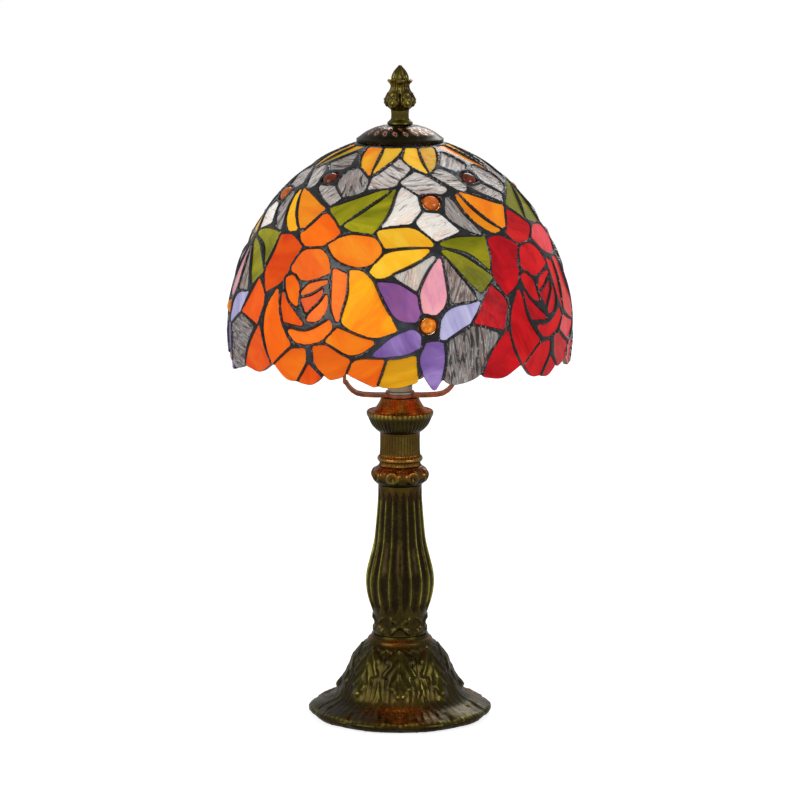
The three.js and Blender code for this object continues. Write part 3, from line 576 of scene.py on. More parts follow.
def contour_loops(field, angles, drops):
    """Closed lines where the field is zero, negative on their inside, as lists of angle and drop."""
    below = field < 0
    code = below[:-1, :-1] + 2 * below[:-1, 1:] + 4 * below[1:, 1:] + 8 * below[1:, :-1]
    mixed = np.argwhere((code > 0) & (code < 15))
    follow, places = {}, {}

    def crossing(r0, c0, r1, c1):
        key = (r0, c0, r1, c1)
        if key not in places:
            a, b = field[r0, c0], field[r1, c1]
            t = a / (a - b)
            places[key] = (
                angles[c0] + t * (angles[c1] - angles[c0]),
                drops[r0] + t * (drops[r1] - drops[r0]),
            )
        return key

    # For each code, pairs of cell sides (0 top, 1 right, 2 bottom, 3 left) joined by the line
    sides = {
        1: ((3, 0),), 2: ((0, 1),), 3: ((3, 1),), 4: ((1, 2),), 5: ((3, 0), (1, 2)), 6: ((0, 2),),
        7: ((3, 2),), 8: ((2, 3),), 9: ((2, 0),), 10: ((0, 1), (2, 3)), 11: ((2, 1),), 12: ((1, 3),),
        13: ((1, 0),), 14: ((0, 3),),
    }
    for r, c in mixed:
        ends = (
            (r, c, r, c + 1),
            (r, c + 1, r + 1, c + 1),
            (r + 1, c, r + 1, c + 1),
            (r, c, r + 1, c),
        )
        for start, end in sides[int(code[r, c])]:
            follow[crossing(*ends[start])] = crossing(*ends[end])
    loops = []
    while follow:
        first = next(iter(follow))
        loop, key = [], first
        while key in follow:
            loop.append(places[key])
            key = follow.pop(key)
        loops.append(np.array(loop))
    return loops


def resample(loop, step):
    """The closed line with points a near-equal step in mm apart."""
    ring = np.concatenate([loop, loop[:1]])
    stretch = mm_per_degree(0.5 * (ring[1:, 1] + ring[:-1, 1]))
    gaps = np.hypot(np.diff(ring[:, 0]) * stretch, np.diff(ring[:, 1]))
    run = np.concatenate([[0.0], np.cumsum(gaps)])
    count = max(6, round(run[-1] / step))
    wanted = np.linspace(0, run[-1], count, endpoint=False)
    return np.stack([np.interp(wanted, run, ring[:, 0]), np.interp(wanted, run, ring[:, 1])], axis=1)


def between(grid, column, row):
    """The grid's values between its points."""
    rows, columns = grid.shape
    row, column = np.clip(row, 0, rows - 1.001), np.clip(column, 0, columns - 1.001)
    r, c = row.astype(int), column.astype(int)
    u, v = column - c, row - r
    upper = grid[r, c] * (1 - u) + grid[r, c + 1] * u
    lower = grid[r + 1, c] * (1 - u) + grid[r + 1, c + 1] * u
    return upper * (1 - v) + lower * v


class Pattern:
    """One repeat of the shade: distances to its pieces on a grid that wraps round."""

    def __init__(self):
        settings = shade_settings()
        self.half_lead = 0.5 * settings.lead_width
        self.pieces = [(kind, smooth_outline(levelled(points)), GROWTH) for kind, points in PATTERN]
        for kind, angle, drop, radius in jewel_places():
            self.pieces.append((kind, round_outline(angle, drop, radius + JEWEL_GAP), 0.0))
        self.columns = round(REPEAT / GRID_TURN)
        self.angles = np.arange(self.columns) * GRID_TURN
        self.drops = np.arange(GRID_TOP, GRID_FOOT, GRID_DROP)
        shape = (len(self.drops), self.columns)
        self.nearest, self.second = np.full(shape, FAR), np.full(shape, FAR)
        self.owner = np.full(shape, -1)
        self.growth = np.zeros(shape)
        self.windows = []
        for number, (_, outline, growth) in enumerate(self.pieces):
            self.windows.append(self.measure(number, outline, growth))
        seam = 0.5 * (self.nearest - self.second) + self.half_lead
        self.gap = np.maximum(seam, self.nearest - self.growth)  # distance from the nearest glass edge
        self.rim = self.rim_line(settings.edge_width)

    def measure(self, number, outline, growth):
        """Works out one piece's distances in a window round it, and keeps the two nearest pieces."""
        top, foot = outline[:, 1].min() - NEAR_MARGIN, outline[:, 1].max() + NEAR_MARGIN
        rows = np.flatnonzero((self.drops > top) & (self.drops < foot))
        margin = NEAR_MARGIN / mm_per_degree(max(top, GRID_TOP))
        first = math.floor((outline[:, 0].min() - margin) / GRID_TURN)
        last = math.ceil((outline[:, 0].max() + margin) / GRID_TURN)
        columns = np.arange(first, last + 1)
        angles = columns * GRID_TURN
        distance = signed_distance(outline, angles, self.drops[rows])
        here = np.ix_(rows, columns % self.columns)
        nearest, second = self.nearest[here], self.second[here]
        closer = distance < nearest
        self.second[here] = np.where(closer, nearest, np.minimum(second, distance))
        self.nearest[here] = np.where(closer, distance, nearest)
        self.owner[here] = np.where(closer, number, self.owner[here])
        self.growth[here] = np.where(closer, growth, self.growth[here])
        return rows, columns, distance

    def rim_line(self, edge_width):
        """The lower edge of the solder as drops for each column."""
        covered = (self.nearest < edge_width) | (self.drops[:, None] < RIM_ZONE)
        last = len(self.drops) - 1 - np.argmax(covered[::-1], axis=0)
        column = np.arange(self.columns)
        inner, outer = self.nearest[last, column], self.nearest[last + 1, column]
        share = np.clip((edge_width - inner) / np.maximum(outer - inner, 0.05), 0, 1)
        edge = self.drops[last] + np.where(self.drops[last] > RIM_ZONE, share * GRID_DROP, 0)
        return np.mean([np.roll(edge, shift) for shift in (-2, -1, 0, 1, 2)], axis=0)

    def rim_at(self, angle):
        angles = np.append(self.angles, REPEAT)
        return np.interp(np.mod(angle, REPEAT), angles, np.append(self.rim, self.rim[0]))

    def gap_at(self, angle, drop):
        """Distance from the nearest glass edge, between the grid's points."""
        ring = np.concatenate([self.gap, self.gap[:, :1]], axis=1)
        return between(ring, np.mod(angle, REPEAT) / GRID_TURN, (drop - GRID_TOP) / GRID_DROP)

    def glass_field(self, number):
        """Where one piece's glass shows: negative inside. Angles, drops and values of its window."""
        rows, columns, distance = self.windows[number]
        here = np.ix_(rows, columns % self.columns)
        others = np.where(self.owner[here] == number, self.second[here], self.nearest[here])
        growth = self.pieces[number][2]
        field = np.maximum(0.5 * (distance - others) + self.half_lead, distance - growth)
        return columns * GRID_TURN, self.drops[rows], field

    def glass_loop(self, number, shrink, step):
        """The piece's outline, moved outwards under the solder by a negative shrink."""
        angles, drops, field = self.glass_field(number)
        field = field + shrink
        field[[0, -1], :] = np.maximum(field[[0, -1], :], 0.1)
        field[:, [0, -1]] = np.maximum(field[:, [0, -1]], 0.1)
        loops = contour_loops(field, angles, drops)
        if not loops:
            raise RuntimeError(f"piece {number} of the pattern has no glass showing")
        return resample(max(loops, key=len), step)


def swirl(angle, drop):
    """Lays one repeat of the dome flat as a whole ring, keeping shapes true."""
    reach_log = np.concatenate([[0.0], np.cumsum(np.diff(DROP) / (0.5 * (RADIUS[1:] + RADIUS[:-1])))])
    size = np.exp(REPEATS * (np.interp(drop, DROP, reach_log) - reach_log[len(DROP) // 2]))
    turn = np.radians(angle) * REPEATS
    return np.stack([size * np.cos(turn), size * np.sin(turn)], axis=-1)


def area_of(points):
    x, y = points[:, 0], points[:, 1]
    return 0.5 * float(np.sum(x * np.roll(y, -1) - np.roll(x, -1) * y))


def triangulate(flat, loops):
    """Delaunay triangles of points in the plane, and for each the set of loops that it lies in.

    loops are index lists of closed lines. Returns the triangles as index triples and those sets."""
    edges = [(a, b) for loop in loops for a, b in zip(loop, loop[1:] + loop[:1])]
    faces = [loop if area_of(flat[loop]) > 0 else loop[::-1] for loop in loops]
    result = delaunay_2d_cdt([Vector(p) for p in flat.tolist()], edges, faces, 1, 1e-7)
    triangles, origins, inside = result[2], result[3], result[5]
    back = [origin[0] if origin else -1 for origin in origins]
    if -1 in back:
        raise RuntimeError("two lines of the pattern cross")
    return [tuple(back[i] for i in t) for t in triangles], [set(s) for s in inside]


def chains_of(loops):
    """The index list of each line, once the lines are joined end to end."""
    ends = np.cumsum([0] + [len(loop) for loop in loops])
    return [list(range(first, last)) for first, last in zip(ends, ends[1:])]


def boundary_edges(triangles):
    """Directed edges that belong to one triangle only."""
    used = dict.fromkeys(edge for a, b, c in triangles for edge in ((a, b), (b, c), (c, a)))
    return [(a, b) for a, b in used if (b, a) not in used]


def closed_shell(triangles, count):
    """Faces of a plate: a top, a bottom whose indices are count higher, and the walls between them."""
    faces = list(triangles)
    faces += [(c + count, b + count, a + count) for a, b, c in triangles]
    faces += [(b, a, a + count, b + count) for a, b in boundary_edges(triangles)]
    return faces


# ------------------------------------------------------------------ solder
SOLDER_STEP = 0.95  # mm between the points inside the solder
ROW_SHARE = 0.87  # of that step between two staggered rows
EDGE_ROOM = 0.4  # least distance from the glass to the points inside the solder
RIM_ROOM = 0.6  # and from the rim
UNDERSIDE = 0.75  # of the bead's height, on the inside of the shade
EDGE_STEP = 1.0
EDGE_SINK = 0.35  # mm that the solder's edge lies under the glass


def solder_points(pattern):
    """Points inside one repeat's solder, in staggered rows."""
    found = []
    for row, drop in enumerate(np.arange(TOP_EDGE + 0.7, GRID_FOOT - 1, SOLDER_STEP * ROW_SHARE)):
        count = round(math.radians(REPEAT) * dome_radius(drop) / SOLDER_STEP)
        angle = (np.arange(count) + 0.5 * (row % 2)) * REPEAT / count
        gap = pattern.gap_at(angle, np.full(count, drop))
        keep = (gap > EDGE_ROOM) & (drop < pattern.rim_at(angle) - RIM_ROOM)
        found.append(np.stack([angle[keep], np.full(keep.sum(), drop)], axis=1))
    return np.concatenate(found)


def bead(distance, half_width, height):
    """Height of rounded solder at a distance from its edge."""
    share = np.clip(distance / half_width, 0, 1)
    return -EDGE_SINK + (height + EDGE_SINK) * np.sqrt(1 - (1 - share) ** 2)


def build_solder(pattern):
    """The solder frame of the whole shade, as one closed piece."""
    settings = shade_settings()
    loops = [pattern.glass_loop(i, 0.0, EDGE_STEP) for i in range(len(pattern.pieces))]
    rim_angles = pattern.angles[::2]
    loops.append(np.stack([rim_angles, pattern.rim[::2]], axis=1))
    top_angles = np.arange(0, REPEAT, 2.0)
    loops.append(np.stack([top_angles, np.full(len(top_angles), TOP_EDGE)], axis=1))
    edge_count = sum(len(loop) for loop in loops)
    points = np.concatenate(loops + [solder_points(pattern)])
    triangles, inside = triangulate(swirl(points[:, 0], points[:, 1]), chains_of(loops))
    rim_loop = len(loops) - 2
    kept = [t for t, owners in zip(triangles, inside) if owners == {rim_loop}]

    angle, drop = np.mod(points[:, 0], REPEAT), points[:, 1]
    gap = pattern.gap_at(angle, drop)
    gap = np.minimum(gap, 0.8 * (pattern.rim_at(angle) - drop))
    gap = np.minimum(gap, drop - TOP_EDGE)
    gap[:edge_count] = 0
    lift = bead(gap, pattern.half_lead, settings.bead_height)

    count = len(points)
    whole = []
    for a, b, c in kept:
        # A triangle that crosses the seam takes its far corners from the next repeat
        middle = angle[[a, b, c]]
        carry = [1 if middle.max() - m > REPEAT / 2 else 0 for m in middle]
        for repeat in range(REPEATS):
            whole.append(tuple(i + ((repeat + k) % REPEATS) * count for i, k in zip((a, b, c), carry)))
    angles = np.concatenate([angle + REPEAT * repeat for repeat in range(REPEATS)])
    drops, lifts = np.tile(drop, REPEATS), np.tile(lift, REPEATS)
    inner = -settings.glass_thickness - UNDERSIDE * lifts
    top, bottom = on_dome(angles, drops, lifts), on_dome(angles, drops, inner)
    return mesh_piece("solder_frame", np.concatenate([top, bottom]), closed_shell(whole, len(top)), 50)


# ------------------------------------------------------------------ cut glass
GLASS_UNDER = 0.55  # mm of glass hidden under the solder's edge
GLASS_STEP = 3.2  # mm between the points inside a piece
GLASS_EDGE_STEP = 1.6
GLASS_INSET = 0.9  # least distance from a piece's edge to the points inside it


def glass_slab(pattern, number):
    """One piece of glass in the first repeat: its points, their lift, its triangles and its flat shape."""
    settings = shade_settings()
    loop = pattern.glass_loop(number, -GLASS_UNDER, GLASS_EDGE_STEP)
    centre = loop.mean(0)
    stretch = mm_per_degree(centre[1])
    rows = np.arange(loop[:, 1].min(), loop[:, 1].max(), GLASS_STEP * ROW_SHARE)
    points = [loop]
    for row, drop in enumerate(rows):
        across = np.arange(loop[:, 0].min(), loop[:, 0].max(), GLASS_STEP / stretch)
        across = across + 0.5 * (row % 2) * GLASS_STEP / stretch
        points.append(np.stack([across, np.full(len(across), drop)], axis=1))
    inner = np.concatenate(points[1:])
    angles, drops, field = pattern.glass_field(number)
    column, row = (inner[:, 0] - angles[0]) / GRID_TURN, (inner[:, 1] - drops[0]) / GRID_DROP
    distance = between(field, column, row)
    points = np.concatenate([loop, inner[distance < -GLASS_INSET]])
    flat = np.stack([points[:, 1] - centre[1], (points[:, 0] - centre[0]) * stretch], axis=1)
    triangles, _ = triangulate(flat, [list(range(len(loop)))])

    solid = on_dome(points[:, 0], points[:, 1])
    middle = solid.mean(0)
    normal = np.linalg.svd(solid - middle)[2][2]
    normal = normal if normal @ outward(centre[0], centre[1]) > 0 else -normal
    away = -((solid - middle) @ normal)
    lift = np.clip(away, -settings.flatness, settings.flatness)
    return points, lift, triangles, flat


def glass_kind(kind, repeat):
    """The roses are orange and red in turn, and each rose has petals of three tones."""
    if kind.startswith("rose"):
        return kind.replace("rose", "orange_rose" if repeat % 2 == 0 else "red_rose")
    if kind.startswith("bud"):
        return "bud_yellow" if kind == "bud_yellow" and repeat % 2 == 1 else "bud_orange"
    return kind


def build_glass(pattern):
    """All pieces of glass, joined by the sheet that they are cut from."""
    settings = shade_settings()
    rng = np.random.default_rng(7)
    sheets = {}
    for number, (kind, _, _) in enumerate(pattern.pieces):
        if kind in JEWEL_KINDS:
            continue
        points, lift, triangles, flat = glass_slab(pattern, number)
        count = len(points)
        faces = closed_shell(triangles, count)
        for repeat in range(REPEATS):
            empty = {"points": [], "faces": [], "cut": [], "tone": []}
            sheet = sheets.setdefault(glass_kind(kind, repeat), empty)
            start = sum(len(p) for p in sheet["points"])
            angle = points[:, 0] + REPEAT * repeat
            top = on_dome(angle, points[:, 1], lift)
            bottom = on_dome(angle, points[:, 1], lift - settings.glass_thickness)
            sheet["points"].append(np.concatenate([top, bottom]))
            sheet["faces"] += [tuple(i + start for i in face) for face in faces]
            turn, spot = rng.uniform(0, math.pi), rng.uniform(-200, 200, 3)
            u = flat[:, 0] * math.cos(turn) - flat[:, 1] * math.sin(turn) + spot[0]
            v = flat[:, 0] * math.sin(turn) + flat[:, 1] * math.cos(turn) + spot[1]
            cut = np.stack([u, v, np.full(count, spot[2])], axis=1)
            sheet["cut"].append(np.concatenate([cut, cut + (0, 0, settings.glass_thickness)]) * MM)
            sheet["tone"].append(np.full(2 * count, rng.uniform(0, 1)))
    made = {}
    for kind, sheet in sorted(sheets.items()):
        piece = mesh_piece(f"glass_{kind}", np.concatenate(sheet["points"]), sheet["faces"], 35)
        add_attribute(piece, "cut", np.concatenate(sheet["cut"]), "FLOAT_VECTOR")
        add_attribute(piece, "tone", np.concatenate(sheet["tone"]))
        made[kind] = piece
    return made


# ------------------------------------------------------------------ finishes
WHITE = (0.90, 0.88, 0.84)
BLACK = (0.0, 0.0, 0.0)
OPAL_PAINTED_GLOW = 0.34  # painted glow: stands in for the bulb's light shining through an opalescent sheet
CLEARNESS = 0.3  # most that a streaky sheet lets through


def glass_sheet(name, dark, main, light):
    """Opalescent glass: three tones in long swirls, a painted glow standing in for the bulb's light through
    it, and a rippled face.
    """
    finish = Finish(name)
    cloud = finish.noise(finish.place(scale=(1.0, 0.4, 1.0), attribute="cut"), 62, 3.0, 0.5, 0.8)
    wisp = finish.noise(finish.place(scale=(1.0, 0.25, 1.0), attribute="cut"), 300, 4.0, 0.6, 0.8)
    tint = finish.mix(finish.spread(cloud, 0.36, 0.62), rgb(dark), rgb(light))
    tint = finish.mix(finish.spread(wisp, 0.36, 0.64, 0.25, 0.75), rgb(main), tint)
    tone = finish.spread(finish.number("tone"), 0.0, 1.0, 0.82, 1.0)
    tint = finish.mix(tone, rgb(BLACK), tint)
    # painted glow: emission in the glass's own colours stands in for the bulb's light through the sheet
    finish.set(Base_Color=tint, Emission_Color=tint, Emission_Strength=OPAL_PAINTED_GLOW)
    finish.set(Roughness=0.18, IOR=1.45, Specular_IOR_Level=0.14)
    finish.bump(finish.noise(finish.place(), 240, 2.0, 0.5, 0.3), 0.4, 0.4)
    return finish.material


def streaky_sheet(name, ground, thread, blush, threads, glow):
    """Clear glass drawn through with fine dark threads and a brown or pink blush."""
    finish = Finish(name)
    cloud = finish.noise(finish.place(scale=(1.0, 0.3, 1.0), attribute="cut"), 90, 3.0, 0.5, 1.2)
    coarse = finish.noise(finish.place(scale=(1.0, 0.16, 1.0), attribute="cut"), 330, 4.0, 0.65, 1.8)
    fine = finish.noise(finish.place(scale=(1.0, 0.10, 1.0), attribute="cut"), 760, 3.0, 0.6, 2.2)
    tint = finish.mix(finish.spread(cloud, 0.40, 0.66, 0.0, 0.7), rgb(ground), rgb(blush))
    tint = finish.mix(finish.spread(fine, 0.50, 0.66), tint, rgb(WHITE))
    lines = finish.spread(coarse, 0.60 - 0.25 * threads, 0.72 - 0.25 * threads)
    tint = finish.mix(finish.maths("MULTIPLY", lines, 0.92), tint, rgb(thread))
    tone = finish.spread(finish.number("tone"), 0.0, 1.0, 0.55, 1.0)
    tint = finish.mix(tone, rgb(BLACK), tint)
    # painted glow: emission at the strength glow stands in for the bulb's light through the clear glass
    finish.set(Base_Color=tint, Emission_Color=tint, Emission_Strength=glow)
    finish.set(Transmission_Weight=finish.spread(cloud, 0.3, 0.7, 0.3 * CLEARNESS, CLEARNESS))
    finish.set(Roughness=0.14, IOR=1.45, Specular_IOR_Level=0.25)
    finish.bump(finish.maths("ADD", coarse, fine), 0.45, 0.35)
    return finish.material


def shaded(value, factor):
    return [min(1.0, part * factor) for part in value]


FERRULE_HEIGHT = 3.2


def sheet_finishes():
    """The finish of each sheet of glass, and the record's slot that it stands for."""
    c = glass_colours()
    smoke, umber = (0.035, 0.033, 0.034), (0.10, 0.045, 0.03)
    smoky_white, bone = (0.58, 0.53, 0.50), (0.80, 0.77, 0.72)
    tan, ash = (0.50, 0.40, 0.36), (0.36, 0.32, 0.31)
    rosy, cocoa = (0.68, 0.52, 0.46), (0.26, 0.15, 0.12)
    bright_amber, pale_yellow, deep_red = (0.95, 0.50, 0.02), (0.95, 0.60, 0.05), (0.24, 0.003, 0.008)
    deep_olive, olive, pale_green = (0.36, 0.27, 0.01), (0.62, 0.42, 0.01), (0.42, 0.37, 0.012)
    deep_bud, bud = (0.80, 0.16, 0.008), (0.92, 0.25, 0.010)
    deep_orange, burnt_orange = (0.66, 0.04, 0.004), (0.84, 0.075, 0.005)
    light_orange, gold = (0.95, 0.21, 0.008), (0.95, 0.33, 0.010)
    amber, orange, red, violet, streaky = (
        "amber_glass", "orange_glass", "red_glass", "violet_glass", "streaky_glass"
    )
    # a streaky sheet's last number is the strength of its painted glow, which stands in for the bulb's light
    # through it
    sheets = {
        "amber_orange": (amber, glass_sheet, "Amber orange", c.orange, c.amber, bright_amber),
        "amber": (amber, glass_sheet, "Amber", c.amber, bright_amber, pale_yellow),
        "olive_yellow": (amber, glass_sheet, "Olive yellow", deep_olive, olive, c.amber),
        "streaky": (
            streaky, streaky_sheet, "Streaky clear", smoky_white, smoke, (0.50, 0.33, 0.28), 0.42, 0.26),
        "streaky_white": (
            streaky, streaky_sheet, "Streaky white", bone, cocoa, rosy, 0.22, 0.42),
        "streaky_brown": (
            streaky, streaky_sheet, "Streaky brown", tan, umber, (0.36, 0.19, 0.14), 0.55, 0.28),
        "streaky_grey": (
            streaky, streaky_sheet, "Streaky grey", ash, smoke, (0.46, 0.27, 0.22), 0.45, 0.20),
        "bud_yellow": (amber, glass_sheet, "Bud yellow", c.amber, c.yellow, bright_amber),
        "bud_orange": (orange, glass_sheet, "Bud orange", deep_bud, bud, c.amber),
        "green": (amber, glass_sheet, "Leaf green", shaded(c.green, 0.6), c.green, pale_green),
        "yellow": (amber, glass_sheet, "Golden yellow", c.amber, c.yellow, pale_yellow),
        "pink": (violet, glass_sheet, "Pink", (0.60, 0.22, 0.36), c.pink, (0.90, 0.48, 0.52)),
        "magenta": (violet, glass_sheet, "Magenta", (0.16, 0.07, 0.28), c.magenta, (0.36, 0.13, 0.40)),
        "lilac": (violet, glass_sheet, "Lilac", (0.26, 0.24, 0.52), c.lilac, (0.56, 0.54, 0.76)),
        "violet": (violet, glass_sheet, "Violet", shaded(c.violet, 0.7), c.violet, (0.36, 0.24, 0.56)),
        "amber_dark": (amber, glass_sheet, "Dark amber", (0.42, 0.16, 0.006), (0.74, 0.33, 0.008), c.yellow),
        "orange_rose": (
            orange, glass_sheet, "Orange rose", shaded(c.orange, 0.82), c.orange, (0.95, 0.22, 0.008)),
        "orange_rose_deep": (orange, glass_sheet, "Deep orange rose", deep_orange, burnt_orange, c.orange),
        "orange_rose_gold": (orange, glass_sheet, "Golden rose", (0.93, 0.20, 0.008), gold, c.yellow),
        "orange_rose_light": (
            orange, glass_sheet, "Light orange rose", c.orange, light_orange, (0.96, 0.33, 0.02)),
        "red_rose": (red, glass_sheet, "Red rose", shaded(c.red, 0.45), c.red, (0.74, 0.02, 0.016)),
        "red_rose_deep": (red, glass_sheet, "Deep red rose", deep_red, (0.50, 0.006, 0.012), c.red),
        "red_rose_gold": (
            red, glass_sheet, "Bright red rose", c.red, (0.78, 0.012, 0.010), (0.88, 0.06, 0.03)),
        "red_rose_light": (
            red, glass_sheet, "Pink red rose", c.red, (0.74, 0.020, 0.030), (0.84, 0.09, 0.11)),
    }
    return {kind: (make(f"{name} glass", *look), slot) for kind, (slot, make, name, *look) in sheets.items()}


def jewel_finish(name, tint, glow):
    finish = Finish(name)
    depth = finish.noise(finish.place(), 260, 3.0)
    colour_here = finish.mix(finish.spread(depth, 0.3, 0.7), rgb(tint, 0.55), rgb(tint, 1.2))
    # painted glow: emission stands in for the bulb's light shining through the jewel
    finish.set(Base_Color=colour_here, Emission_Color=colour_here, Emission_Strength=glow)
    finish.set(Roughness=0.06, IOR=1.5, Transmission_Weight=0.2, Specular_IOR_Level=0.35)
    return finish.material


def solder_finish():
    """Lead-free solder under a black patina, worn a little in patches."""
    finish = Finish("Patinated solder")
    cloud = finish.noise(finish.place(), 140, 5.0)
    worn = finish.noise(finish.place(), 36, 3.0)
    tint = finish.mix(finish.spread(cloud, 0.35, 0.7), (0.003, 0.003, 0.004, 1), (0.014, 0.015, 0.019, 1))
    tint = finish.mix(finish.spread(worn, 0.56, 0.74, 0.0, 0.7), tint, (0.085, 0.10, 0.125, 1))
    finish.set(Base_Color=tint, Metallic=0.2, Specular_IOR_Level=0.7)
    finish.set(Roughness=finish.spread(cloud, 0.3, 0.7, 0.16, 0.32))
    finish.bump(finish.noise(finish.place(), 420, 3.0), 0.5, 0.5)
    return finish.material


def cast_finish(name, lift=1.0, painted_light_amount=0.6, roughness=(0.22, 0.36), painted_light_tint=None):
    """Antique bronze: dark patina in the hollows, olive on the faces, pale where it is rubbed, and painted
    warm light in patches.
    """
    c = metal_colours()
    finish = Finish(name)
    cloud = finish.noise(finish.place(), 75, 5.0, 0.6)
    haze = finish.noise(finish.place(), 45, 2.0, 0.5)
    speck = finish.noise(finish.place(), 420, 2.0, 0.5)
    level = finish.maths("ADD", finish.number("relief"), finish.spread(cloud, 0.25, 0.75, -0.17, 0.17))
    level = finish.maths("ADD", level, finish.spread(speck, 0.3, 0.7, -0.04, 0.04))
    tint = finish.mix(finish.spread(level, 0.05, 0.5), rgb(c.recess, lift), rgb(c.body, lift))
    tint = finish.mix(finish.spread(level, 0.52, 1.0), tint, rgb(c.ridge, lift))
    # painted warm light: the vertex attribute, broken into patches, mixes in the colour of the bulb's light
    patchy = finish.spread(haze, 0.3, 0.6, 0.45 * painted_light_amount, painted_light_amount)
    tint = finish.mix(finish.maths("MULTIPLY", finish.number("warm"), patchy), tint, rgb(painted_light_tint or c.painted_light_colour))
    finish.set(Base_Color=tint, Metallic=0.93, Roughness=finish.spread(speck, 0.3, 0.7, *roughness))
    finish.bump(cloud, 0.3, 0.05)
    return finish.material


def plain_finish(name, tint, metallic, roughness, scale=160, contrast=0.25, bump=0.1, **sockets):
    """A finish of one colour with the small variation that the real surface has."""
    finish = Finish(name)
    cloud = finish.noise(finish.place(), scale, 4.0)
    shade = finish.mix(finish.spread(cloud, 0.3, 0.7), rgb(tint, 1 - contrast), rgb(tint, 1 + contrast))
    finish.set(Base_Color=shade, Metallic=metallic, Roughness=finish.spread(cloud, 0.3, 0.7, *roughness))
    finish.set(**sockets)
    finish.bump(finish.noise(finish.place(), 6 * scale, 3.0), 0.4, bump)
    return finish.material


def ferruled_finish():
    """Brown phenolic over the pale ferrule at the holder's foot."""
    finish = Finish("Holder cap with pale ferrule")
    cloud = finish.noise(finish.place(), 160, 4.0)
    brown = finish.mix(finish.spread(cloud, 0.3, 0.7), (0.012, 0.008, 0.005, 1), (0.026, 0.016, 0.010, 1))
    pale = finish.mix(finish.spread(cloud, 0.3, 0.7), (0.42, 0.40, 0.27, 1), (0.56, 0.53, 0.38, 1))
    split = finish.node("ShaderNodeSeparateXYZ")
    finish.join(finish.place(), split.inputs[0])
    line = (low("holder_cap") + FERRULE_HEIGHT) * MM
    above = finish.spread(split.outputs["Z"], line, line + 0.3 * MM)
    finish.set(Base_Color=finish.mix(above, pale, brown))
    finish.set(Roughness=finish.spread(cloud, 0.3, 0.7, 0.22, 0.36))
    finish.bump(cloud, 0.2, 0.05)
    return finish.material


def bulb_finish():
    """Frosted glass that glows from the filament inside it."""
    finish = Finish("Frosted bulb glass")
    frost = finish.noise(finish.place(), 900, 2.0)
    tint = finish.mix(frost, (0.95, 0.88, 0.76, 1), (1.0, 0.96, 0.90, 1))
    finish.set(Base_Color=tint, Roughness=0.35, Emission_Color=(1.0, 0.78, 0.50, 1.0))
    finish.set(Emission_Strength=stage_settings().bulb_light)
    finish.bump(frost, 0.1, 0.05)
    return finish.material


# ------------------------------------------------------------------ turned pieces
def bend(points, step=0.8):
    """A smooth line through points given as radius and height, with points a near-equal step apart."""
    points = np.array(points, float)
    padded = np.concatenate([[2 * points[0] - points[1]], points, [2 * points[-1] - points[-2]]])
    line = []
    for a, b, c, d in zip(padded, padded[1:], padded[2:], padded[3:]):
        length = math.dist(b, c)
        before, after = math.dist(a, b), math.dist(c, d)
        leave = (c - a) / (length + before) * length
        arrive = (d - b) / (length + after) * length
        t = np.linspace(0, 1, max(2, round(length / step)), endpoint=False)[:, None]
        line.append(curve_between(t, b, leave, c, arrive))
    return np.concatenate(line + [points[-1:]])


BORE_GAP = 0.3  # mm between a casting and what it is threaded on
WELD = 0.02  # mm within which two points are one
CAST_SMOOTH = 55  # degrees


def bore_round(node):
    """The radius of a bore that clears a round node."""
    return reach(node) + BORE_GAP


def turned(name, outside, inside, steps, relief):
    """A closed casting turned from its profile, with relief pressed into its outside.

    outside runs from the foot to the top and inside from the top to the foot, both as radius and height.
    relief takes angle, radius, height and the run up the outside, and returns mm outwards, the relief's shade
    from 0 to 1 and how much painted warm light lies on it."""
    profile = np.concatenate([outside, inside])
    mesh = bpy.data.meshes.new(name)
    points = [(r * MM, 0.0, z * MM) for r, z in profile]
    edges = [(i, (i + 1) % len(points)) for i in range(len(points))]
    mesh.from_pydata(points, edges, [])
    piece = bpy.data.objects.new(name, mesh)
    bpy.context.scene.collection.objects.link(piece)
    make_active(piece)
    bpy.ops.object.mode_set(mode="EDIT")
    bpy.ops.mesh.select_all(action="SELECT")
    bpy.ops.mesh.spin(steps=steps, angle=2 * math.pi, center=(0, 0, 0), axis=(0, 0, 1))
    bpy.ops.mesh.select_all(action="SELECT")
    bpy.ops.mesh.remove_doubles(threshold=WELD * MM)
    bpy.ops.mesh.delete_loose()
    bpy.ops.mesh.select_all(action="SELECT")
    bpy.ops.mesh.normals_make_consistent(inside=False)
    bpy.ops.object.mode_set(mode="OBJECT")

    places = vertex_places(piece)
    radius, height = np.hypot(places[:, 0], places[:, 1]), places[:, 2]
    shade, warm = np.zeros(len(places)), np.zeros(len(places))
    off_radius, off_height = radius[:, None] - profile[:, 0], height[:, None] - profile[:, 1]
    nearest = np.argmin(off_radius**2 + off_height**2, axis=1)
    on = nearest < len(outside)
    run = np.concatenate([[0.0], np.cumsum(np.hypot(*np.diff(outside, axis=0).T))])
    slope = np.gradient(outside, run, axis=0)
    across, up = slope[:, 1][nearest[on]], -slope[:, 0][nearest[on]]
    angle = np.degrees(np.arctan2(places[on, 0], -places[on, 1]))
    push, shade[on], warm[on] = relief(angle, radius[on], height[on], run[nearest[on]])
    turn = np.radians(angle)
    places[on, 0] += push * across * np.sin(turn)
    places[on, 1] -= push * across * np.cos(turn)
    places[on, 2] += push * up
    move_vertices(piece, places)
    add_attribute(piece, "relief", shade)
    add_attribute(piece, "warm", warm)
    make_active(piece)
    bpy.ops.object.shade_smooth_by_angle(angle=math.radians(CAST_SMOOTH))
    return piece


def ramp(value, start, end):
    """Smooth step from 0 at start to 1 at end."""
    share = np.clip((value - start) / (end - start), 0, 1)
    return share * share * (3 - 2 * share)


def hump(value, width):
    return np.exp(-((value / width) ** 2))


